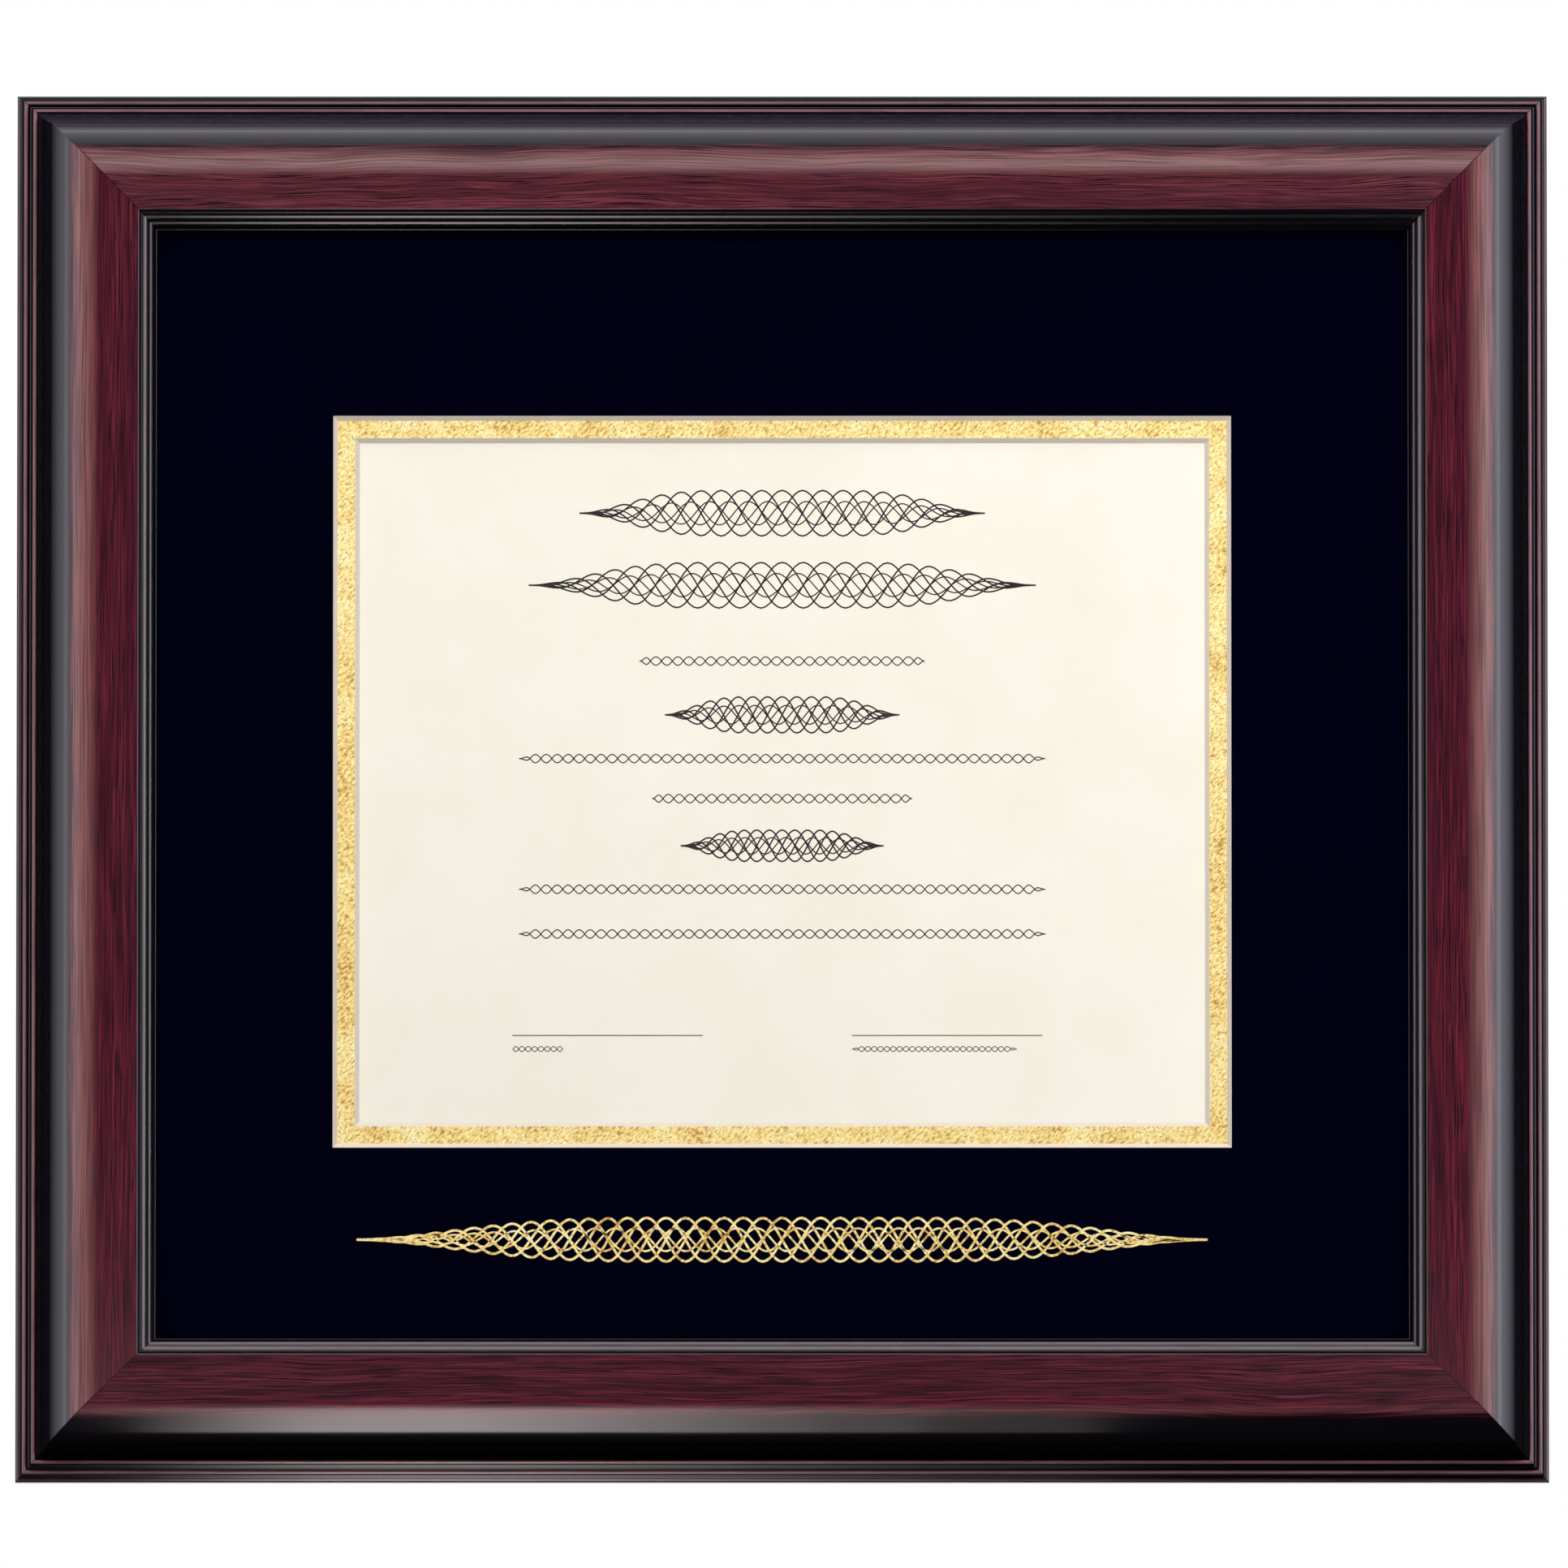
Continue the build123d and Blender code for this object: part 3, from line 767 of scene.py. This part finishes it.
# %% Ink and pressed leaf
def printing_ink():
    ink = Finish("printing_ink")
    x, y, z = millimetres(ink)
    tooth = noise(ink, x * 3.0, y, z * 3.0, 3, 0.6)
    colour = ramp(ink, tooth, (0.35, tint(28, 25, 26)), (0.75, tint(46, 42, 42)))
    return surface(ink, colour, 0.6 + tooth * 0.25, None, {"Specular IOR Level": 0.3})


def pressed_leaf():
    leaf = Finish("pressed_leaf")
    colour, height, rough = gold_leaf(leaf, *millimetres(leaf))
    return surface(leaf, colour, rough, bump(leaf, height, 0.08, 0.6), {"Metallic": LEAF_METAL})


def make_marks(name, marks, finish):
    return make_piece(name, marks.points, marks.faces, [finish])


printed = make_marks("printed_ornament", ink_marks, printing_ink())
stamped = make_marks("leaf_ornament", leaf_marks, pressed_leaf())
print("marks:", len(printed.data.polygons), "faces of ink and", len(stamped.data.polygons), "of leaf")

# %% [markdown]
# Behind, the package is closed by a sheet of hardboard. Its smooth side is a mottled brown with
# short fibres pressed flat into it. The foam board and the film pockets in front of it hardly show,
# and could be left grey, but a look between the layers should not find bare plastic. So they get
# plain finishes of paper and of clear film.

# %% Hardboard, foam board and film
def hardboard():
    board = Finish("hardboard")
    x, y, z = millimetres(board)
    mottle = noise(board, x * 0.035, y, z * 0.035)
    chips = noise(board, x * 0.5, y, z * 0.5, 4, 0.7)
    hairs = noise(board, x * 0.5 + chips * 2, y, z * 2.6, 3, 0.6)
    tone = mottle * 0.25 + chips * 0.45 + hairs * 0.45
    browns = (0.38, tint(86, 58, 38)), (0.58, tint(122, 86, 58)), (0.78, tint(150, 112, 80))
    dark = step(board, noise(board, x * 1.1, y + 3, z * 1.1, 2), 0.64, 0.72)
    colour = blend(board, dark * 0.6, ramp(board, tone, *browns), tint(58, 38, 26))
    return surface(board, colour, 0.5 + hairs * 0.25, bump(board, chips * 0.6 + hairs * 0.4, 0.05))


def foam_board():
    board = Finish("foam_board")
    x, y, z = millimetres(board)
    pulp = noise(board, x * 1.2, y * 1.2, z * 1.2)
    colour = ramp(board, pulp, (0.3, tint(226, 223, 216)), (0.7, tint(240, 238, 233)))
    return surface(board, colour, 0.8 + pulp * 0.1, bump(board, pulp, 0.03))


def pocket_film():
    film = Finish("pocket_film")
    x, y, z = millimetres(film)
    haze = noise(film, x * 0.2, y, z * 0.2, 2)
    alpha = 0.25 + haze * 0.15
    return surface(film, tint(235, 240, 242), 0.15 + haze * 0.2, None, {"Alpha": alpha})


dress("backing_board", hardboard())
dress("mounting_board", foam_board())
dress("corner_pockets", pocket_film())
print("boards and pockets dressed")

# %% [markdown]
# The hardware is of two metals and rubber. Turn buttons, screws and the nails across the mitres are
# zinc plated: a bluish grey with the faint cloudy spangle of the plating. Straps and rings are
# nickel plated, brighter and warmer, with fine scratches from the tumbling drum. Both are one
# recipe with other colours, because plating differs in tone and polish more than in pattern. The
# bumpers are black rubber, matt and slightly dusty.

# %% Zinc, nickel and rubber
def plated(name, dull, bright, low, high, seed):
    """A plated metal with colours from dull to bright and a roughness from low to high."""
    metal = Finish(name)
    x, y, z = millimetres(metal)
    cloud = noise(metal, x * 0.5, y * 0.5, z * 0.5 + seed)
    spangle = noise(metal, x * 2.2, y * 2.2, z * 2.2 + seed, 3, 0.6)
    scratch = noise(metal, x * 9 + z * 4, y * 9, z * 0.7, 2)
    colour = ramp(metal, cloud * 0.5 + spangle * 0.5, (0.3, dull), (0.7, bright))
    rough = step(metal, spangle * 0.6 + scratch * 0.4, 0.3, 0.7, low, high)
    relief = bump(metal, spangle * 0.5 + scratch * 0.5, 0.012)
    return surface(metal, colour, rough, relief, {"Metallic": 1.0})


def rubber():
    soft = Finish("bumper_rubber")
    x, y, z = millimetres(soft)
    dust = noise(soft, x * 0.7, y * 0.7, z * 0.7, 4, 0.65)
    colour = ramp(soft, dust, (0.35, tint(24, 24, 25)), (0.75, tint(52, 51, 50)))
    return surface(soft, colour, 0.6 + dust * 0.3, bump(soft, dust, 0.04))


zinc = plated("zinc_plate", tint(150, 154, 160), tint(196, 199, 203), 0.28, 0.48, 0)
nickel = plated("nickel_plate", tint(176, 170, 158), tint(214, 209, 198), 0.16, 0.34, 5)
black_rubber = rubber()
print("metals:", zinc.name, nickel.name)

# %% [markdown]
# Turn buttons and straps are stamped from sheet, and their solids already have the right shape, so
# they only get their metal. Stamped metal has a slight roll along its edges, and without it no edge
# catches the light. The pieces could be modelled again for that, but a Bevel modifier on the solid
# gives it without touching the solid's own points.

# %% Soft edges on the stamped metal
EDGE_ROLL, EDGE_ANGLE = 0.16, 40
buttons = sorted(n for n in solids if n.startswith("turn_button_") and n != "turn_button_screws")
straps = ["hanger_strap_left", "hanger_strap_right"]
for node in buttons + straps:
    dress(node, zinc if node in buttons else nickel)
    edge = solids[node].modifiers.new("edge_roll", "BEVEL")
    edge.width = EDGE_ROLL * MM
    edge.segments = 2
    edge.limit_method = "ANGLE"
    edge.angle_limit = math.radians(EDGE_ANGLE)
print("soft edges on", len(buttons), "buttons and", len(straps), "straps")

# %% [markdown]
# Screws and bumpers are round about an axis, as if turned on a lathe, so they are made that way
# here: half of a section is spun round. Blender's Screw modifier could spin it as well, but a plain
# list of points can then be turned and set in many places. The first piece on the lathe is a screw
# with a domed head. The solids have few sides because there are many screws. This one has forty and
# looks round.

# %% A lathe and a screw turned on it
SCREW_SIDES = 40


def lathe(profile, sides):
    """Spins (radius, height) points round the Z axis. The line starts and ends on the axis."""
    points = [(0, 0, profile[0][1]), (0, 0, profile[-1][1])]
    rings = profile[1:-1]
    for radius, height in rings:
        points += [(radius * math.cos(a), radius * math.sin(a), height) for a in sweep(360, sides)[:-1]]
    starts = [2 + sides * lap for lap in range(len(rings))]
    faces = []
    for n in range(sides):
        m = (n + 1) % sides
        faces += [(0, starts[0] + n, starts[0] + m), (1, starts[-1] + m, starts[-1] + n)]
    for start, after in zip(starts, starts[1:]):
        faces += walls(start, after, sides)
    return points, faces


def turned_screw():
    """Points and faces of a screw before it is punched. Its head sits on Z = 0."""
    head, rim, dome, shank, length, tip = 3.2, 0.6, 1.4, 1.5, 6.5, 9
    profile = [(head * math.sin(a), rim + dome * math.cos(a)) for a in sweep(90, 8)]
    profile += [(head, 0.12), (head - 0.12, 0), (shank, 0), (shank, -length), (0, -tip)]
    return lathe(profile, SCREW_SIDES)


blank_screw = turned_screw()
print("faces in a screw before it is punched:", len(blank_screw[1]))

# %% [markdown]
# A cross is punched into the head of a screw with a hard steel tool. A bump could fake the cross,
# but from the side it would be flat. So the tool is made as well, as two crossed bars that narrow
# towards the tip, and a Boolean modifier cuts it out of the head.

# %% A cross in the head
def cross_punch():
    """Two tapered bars that cross, narrower at the tip."""
    long, wide, high, deep, taper = 1.75, 0.45, 2.6, 0.75, 0.7
    points, faces = [], []
    for a, b in ((long, wide), (wide, long)):
        faces += tube(4, 1, len(points))
        for size, z in ((1, high), (taper, deep)):
            points += [(sx * a * size, sy * b * size, z) for sx, sy in CORNERS]
    return points, faces


def loose(name, points, faces):
    """An object that is only a tool for making another, in the units of its points."""
    mesh = bpy.data.meshes.new(name)
    mesh.from_pydata(points, [], faces)
    made = bpy.data.objects.new(name, mesh)
    bpy.context.scene.collection.objects.link(made)
    return made


def punched_screw():
    """Points and faces of the screw with its cross."""
    blank = loose("screw_blank", *blank_screw)
    punch = loose("screw_punch", *cross_punch())
    cut = blank.modifiers.new("cross", "BOOLEAN")
    cut.object = punch
    cut.operation = "DIFFERENCE"
    cut.solver = "EXACT"
    cut.use_self = True
    bpy.context.view_layer.update()
    shown = blank.evaluated_get(bpy.context.evaluated_depsgraph_get())
    done = bpy.data.meshes.new_from_object(shown)
    result = [tuple(v.co) for v in done.vertices], [tuple(p.vertices) for p in done.polygons]
    for made in (blank, punch):
        bpy.data.objects.remove(made)
    return result


screw_points, screw_faces = punched_screw()
print("faces in a screw:", len(screw_faces))

# %% [markdown]
# One screw is enough: it is set in every place, each at its own turn, as a hand and a screwdriver
# would leave it. Linked copies would be lighter, but all the screws of one kind stand for one
# solid, so they are one mesh. Their places are read from the buttons and straps that they hold.

# %% Screws in their places
HUB = 5.5
RING_AXIS = 2.35
HOLES = (8.6, 24.1)
BUTTON_SEAT, STRAP_SEAT = 1.2, 1.8
FIRST_TURN, NEXT_TURN = 11, 37


def behind(x, z, local):
    """A local point on the back of the moulding: +Z points at the wall and +Y points down."""
    return (x + local[0], BACK + local[2], z - local[1])


def set_screws(name, places, seat, stands_for):
    """Screws at these places, whose heads sit this high above the wood."""
    points, faces = [], []
    for n, (x, z) in enumerate(places):
        faces += [tuple(len(points) + k for k in face) for face in screw_faces]
        turn = Matrix.Rotation(math.radians(FIRST_TURN + NEXT_TURN * n), 3, "Z")
        points += [behind(x, z, turn @ Vector(p) + Vector((0, 0, seat))) for p in screw_points]
    return make_piece(name, points, faces, [zinc], stands_for)


def button_place(node):
    """A button's screw lies one hub radius inside the button's outer end."""
    low, high = box_of(node)
    x, z = (low.x + high.x) / 2, (low.z + high.z) / 2
    if high.z - low.z > high.x - low.x:
        z = high.z - HUB if z > 0 else low.z + HUB
    else:
        x = high.x - HUB if x > 0 else low.x + HUB
    return x, z


strap_low, strap_high = box_of("hanger_strap_right")
HANGER_X, HANGER_Z = (strap_low.x + strap_high.x) / 2, strap_high.z - RING_AXIS
button_places = [button_place(node) for node in buttons]
strap_places = [(side * HANGER_X, HANGER_Z - hole) for side in (-1, 1) for hole in HOLES]
set_screws("button_screws", button_places, BUTTON_SEAT, "turn_button_screws")
set_screws("strap_screws", strap_places, STRAP_SEAT, "hanger_screws")
print("screws:", len(button_places), "in buttons and", len(strap_places), "in straps")

# %% [markdown]
# A D ring is one length of wire, bent and butted. Its path is a straight side, two small corners
# and half a circle. A circle is carried along that path and always stands square to it, which a
# curve with a round bevel would do as well, but a mesh keeps the seam closed.

# %% Two D rings
WIRE, WIRE_SIDES = 1.24, 20
LEAN = 3.2758


def ring_path():
    """The middle of the wire, from its straight side round the bow and back."""
    half, corner, long, straight = 9.0, 2.6, 14.0, 3.2
    side = [(x, 0) for x in (-straight, 0, straight)]
    bend = [(half - corner + corner * math.sin(a), corner * math.cos(a) - corner) for a in sweep(90, 10)]
    bow = [(half * math.cos(a), half - long - half * math.sin(a)) for a in sweep(180, 48)]
    return side + bend + bow + [(-x, y) for x, y in reversed(bend)]


def make_ring(side, x):
    path = [Vector((*p, 0)) for p in ring_path()]
    lean = Matrix.Rotation(math.radians(LEAN), 3, "X")
    points, faces = [], []
    for n, spot in enumerate(path):
        after = (n + 1) % len(path)
        way = (path[after] - path[n - 1]).normalized()
        out, up = Vector((-way.y, way.x, 0)), Vector((0, 0, 1))
        for a in sweep(360, WIRE_SIDES)[:-1]:
            local = lean @ (spot + WIRE * (math.cos(a) * out + math.sin(a) * up))
            points.append(behind(x, HANGER_Z, local + RING_AXIS * up))
        faces += walls(n * WIRE_SIDES, after * WIRE_SIDES, WIRE_SIDES)
    body = "hanger_ring_" + side
    return make_piece("ring_" + side, points, faces, [nickel], body, body, sharp=60)


rings = [make_ring("left", -HANGER_X), make_ring("right", HANGER_X)]
print("faces in a ring:", len(rings[0].data.polygons))

# %% [markdown]
# Last on the back come the bumpers, turned like the screws with a rounded edge and a shallow dish,
# and the nails. A V nail is a strip of steel bent to a right angle and pressed in across the mitre
# from behind. It could be painted on the wood, but a steel edge glints. A real one stops level with
# the wood, and here it stands a twentieth of a millimetre proud, so that wood and steel don't share
# a surface.

# %% Bumpers and V nails
NAILS_IN = (16.0, 31.0)
NAIL_DEPTH, NAIL_PROUD = 10, 0.05
NAIL_LEG, NAIL_HALF = 5, 0.3


def make_bumper(side):
    low, high = box_of("bumper_" + side)
    radius, tall, edge, dish = 5.5, 5.5, 1.2, 0.3
    profile = [(0, tall - dish), (1.6, tall - dish), (2.2, tall)]
    profile += [(radius + edge * (math.sin(a) - 1), tall + edge * (math.cos(a) - 1)) for a in sweep(90, 8)]
    profile += [(radius, 0.3), (radius - 0.2, 0), (0, 0)]
    points, faces = lathe(profile, 48)
    points = [behind((low.x + high.x) / 2, (low.z + high.z) / 2, p) for p in points]
    name, node = "bumper_pad_" + side, "bumper_" + side
    return make_piece(name, points, faces, [black_rubber], node)


def make_nails():
    leg, half, bend = NAIL_LEG, NAIL_HALF, 0.1
    strip = [(-half, -bend), (-bend, -half), (leg, -half), (leg, half)]
    strip += [(half + 0.15, half), (half, half + 0.15), (half, leg), (-half, leg)]
    points, faces = [], []
    for to_right, to_top in CORNERS:
        for set_in in NAILS_IN:
            x, z = WIDTH / 2 - set_in, HEIGHT / 2 - set_in
            faces += tube(len(strip), 1, len(points))
            for y in (BACK - NAIL_DEPTH, BACK + NAIL_PROUD):
                points += [(to_right * (x + a), y, to_top * (z + b)) for a, b in strip]
    return make_piece("corner_nails", points, faces, [zinc], "v_nails")


bumpers = [make_bumper("left"), make_bumper("right")]
nails = make_nails()
print("faces in a bumper:", len(bumpers[0].data.polygons), "and in the nails:", len(nails.data.polygons))

# %% [markdown]
# The frame is seen almost square on, from a little below, with a very long lens: its sides stay
# parallel. An orthographic camera would do that too, but a picture is always taken through a lens,
# and even a long one keeps a little depth. So this camera stands sixteen metres off, and the lens
# follows from how wide a strip of the frame's plane the picture takes in. No lens shift is needed,
# only a small aim off the centre.

# %% Camera
PICTURE = 494.3 * MM
DISTANCE = 16.0
SENSOR = 36.0
BELOW = math.radians(7.0)
aim = Vector((0.58 * MM, 0, 0.45 * MM))
look = Vector((0, math.cos(BELOW), math.sin(BELOW)))
camera_data = bpy.data.cameras.new("camera")
camera_data.sensor_width = SENSOR
camera_data.lens = SENSOR * DISTANCE / PICTURE
camera_data.clip_end = 60.0
camera = bpy.data.objects.new("camera", camera_data)
camera.location = aim - DISTANCE * look
camera.rotation_mode = "QUATERNION"
camera.rotation_quaternion = look.to_track_quat("-Z", "Y")
bpy.context.scene.collection.objects.link(camera)
bpy.context.scene.camera = camera
bpy.context.scene.view_settings.view_transform = "Standard"
print("lens:", round(camera_data.lens, 1), "mm")

# %% [markdown]
# A satin frame is drawn by what it reflects. One big lamp would lay a single haze over all four
# rails, so each rail has its own. Two screens stand close at the sides, with a gap for the camera,
# and give the side rails soft highlights that end at the crown. Below lie nine cards that overlap,
# each reaching further to the right than the last, so that the shine on the lower rail fades out
# that way. Overhead hang two strips, which draw thin lines along the upper rail, and a ceiling of
# four overlapping panels, which fades towards the camera. The mat and paper are lit by one lamp in
# front that isn't mirrored, and the cards are only mirrored. Two more lamps stand high behind, for
# the hardware. Each lamp is a flat panel with a middle, a point that it faces, a size in metres and
# a brightness, where 1 is paper white. Blender wants watts, which follow from brightness and area.

# %% Lamps
def panel(name, middle, towards, width, height, brightness, colour=(1, 1, 1)):
    lamp = bpy.data.lights.new(name, "AREA")
    lamp.shape = "RECTANGLE"
    lamp.size, lamp.size_y = width, height
    lamp.energy = brightness * math.pi * width * height
    lamp.color = colour
    made = bpy.data.objects.new(name, lamp)
    made.location = middle
    made.rotation_mode = "QUATERNION"
    made.rotation_quaternion = (Vector(towards) - Vector(middle)).to_track_quat("-Z", "Y")
    made.visible_camera = False
    bpy.context.scene.collection.objects.link(made)
    return made


COOL = (0.92, 0.9, 1.0)
WARM = (1.0, 0.975, 0.92)
ROSE = (1.0, 0.87, 0.885)
lamps = [
    panel("lamp_left", (-0.79, -0.6, 0.1), (-0.79, 0, 0.1), 0.92, 0.6, 1.3, COOL),
    panel("lamp_right", (0.79, -0.6, 0.1), (0.79, 0, 0.1), 0.92, 0.6, 2.2, COOL),
    panel("lamp_fill", (0, -1.8, 1.2), (0, 0, 0), 1.6, 1.0, 6.6, WARM),
    panel("lamp_strip", (0, 0.0, 0.9), (0, 0.0, 0), 1.2, 0.24, 1.6, COOL),
    panel("lamp_rear_strip", (0, 0.28, 0.9), (0, 0.28, 0), 1.2, 0.32, 0.45, COOL),
    panel("lamp_back_left", (-0.85, 0.9, 1.15), (0, 0, 0), 0.9, 0.9, 8.0),
    panel("lamp_back_right", (0.85, 0.9, 1.15), (0, 0, 0), 0.9, 0.9, 7.0),
]
bpy.data.objects["lamp_fill"].visible_glossy = False
print("lamps:", len(lamps))

# %% [markdown]
# Cards and ceiling are gradients. An area lamp has one brightness all over, and a texture on it
# could shade it, but panels that overlap add up, and that is easy to follow: where all nine cards
# lie over each other the shine is brightest, and where only the longest reaches it is faintest.

# %% Cards below and a ceiling above
CARDS = 9
CARD_DEEP, CARD_BRIGHT = 0.472, 0.66
CARD_FACES = Vector((0, 0.17, 0.44))
CEILING_START, CEILING_WIDE = -0.05, 1.2
CEILING = ((-0.28, 0.45), (-0.48, 0.5), (-0.75, 0.35), (-1.12, 0.9))
for n in range(CARDS):
    share = n / (CARDS - 1)
    left, right = -0.15 - 0.055 * share, -0.092 + 0.125 * share + 0.068 * share ** 7
    spot = Vector(((left + right) / 2, -0.28, -0.255 - 0.003 * n))
    card = panel(f"lamp_low_{n}", spot, spot + CARD_FACES, right - left, CARD_DEEP, CARD_BRIGHT, ROSE)
    card.visible_diffuse = False
for n, (end, brightness) in enumerate(CEILING):
    spot = Vector((0, (CEILING_START + end) / 2, 0.95 + 0.005 * n))
    floor_spot = Vector((0, spot.y, 0))
    deep = CEILING_START - end
    panel(f"lamp_ceiling_{n}", spot, floor_spot, CEILING_WIDE, deep, brightness, COOL)
print("cards:", CARDS, "and panels in the ceiling:", len(CEILING))

# %% [markdown]
# The world does three jobs. To the camera it is plain white. As light it is a dim even grey. Glossy
# things and glass see white straight behind, on the wall, a soft glow far out at both sides, a
# little brighter on the right, and darkness elsewhere, as in a studio with the room lights off. A
# photographed room would light it too, but it would bring its own windows into the varnish.

# %% World
def studio_world():
    world = bpy.data.worlds.new("studio")
    bpy.context.scene.world = world
    room = Finish("studio", world)
    x, y, z = room.parts(room.node("TexCoord", None, None, "Generated"))
    wall = step(room, y, 0.72, 0.95)
    glow = step(room, x * x, 0.4, 0.75) * step(room, y, -0.6, 0.55, 2.1, 0.05)
    glow = glow * step(room, x, -0.6, 0.6, 1.0, 1.4)
    mirrored = ray(room, "Glossy") + ray(room, "Transmission")
    seen = ray(room, "Camera") + mirrored * wall
    strength = (1 - mirrored) * 0.1 + mirrored * glow
    light = room.node("Background", None, {"Color": (0.87, 0.85, 1.0, 1), "Strength": strength})
    white = room.node("Background", None, {"Color": (1, 1, 1, 1), "Strength": 1.0})
    both = room.node("MixShader", None, {0: seen, 1: light, 2: white})
    room.node("OutputWorld", None, {"Surface": both})
    return world


print("world:", studio_world().name)

# %% [markdown]
# The frame hangs, so the floor is a pale disc far below it. A plane that runs to the horizon would
# show its edge against the white. This one fades out towards its rim, where a Mix Shader turns it
# transparent.

# %% Floor
FLOOR_LEVEL, FLOOR_RADIUS, FLOOR_SIDES = -0.85, 1.8, 64


def pale_floor():
    ground = Finish("pale_floor")
    at = ground.node("TexCoord", None, None, "Object")
    far = ground.node("VectorMath", {"operation": "LENGTH"}, {0: at}, "Value")
    grit = noise(ground, *ground.parts(at), scale=40.0)
    colour = ramp(ground, grit, (0.3, tint(232, 232, 231)), (0.7, tint(240, 240, 239)))
    dull = ground.node("BsdfDiffuse", None, {"Color": colour})
    gone = ground.node("BsdfTransparent")
    fade = step(ground, far, FLOOR_RADIUS * 0.6, FLOOR_RADIUS * 0.98)
    both = ground.node("MixShader", None, {0: fade, 1: dull, 2: gone})
    ground.node("OutputMaterial", None, {"Surface": both})
    return ground.owner


def make_floor():
    rim = [FLOOR_RADIUS * Vector((math.cos(a), math.sin(a), 0)) for a in sweep(360, FLOOR_SIDES)[:-1]]
    mesh = bpy.data.meshes.new("floor")
    mesh.from_pydata([(p.x, p.y, FLOOR_LEVEL) for p in rim], [], [tuple(range(FLOOR_SIDES))])
    mesh.materials.append(pale_floor())
    floor = bpy.data.objects.new("floor", mesh)
    bpy.context.scene.collection.objects.link(floor)
    floor.visible_glossy = False
    return floor


floor = make_floor()
print("floor:", [round(size, 2) for size in floor.dimensions], "at", FLOOR_LEVEL)
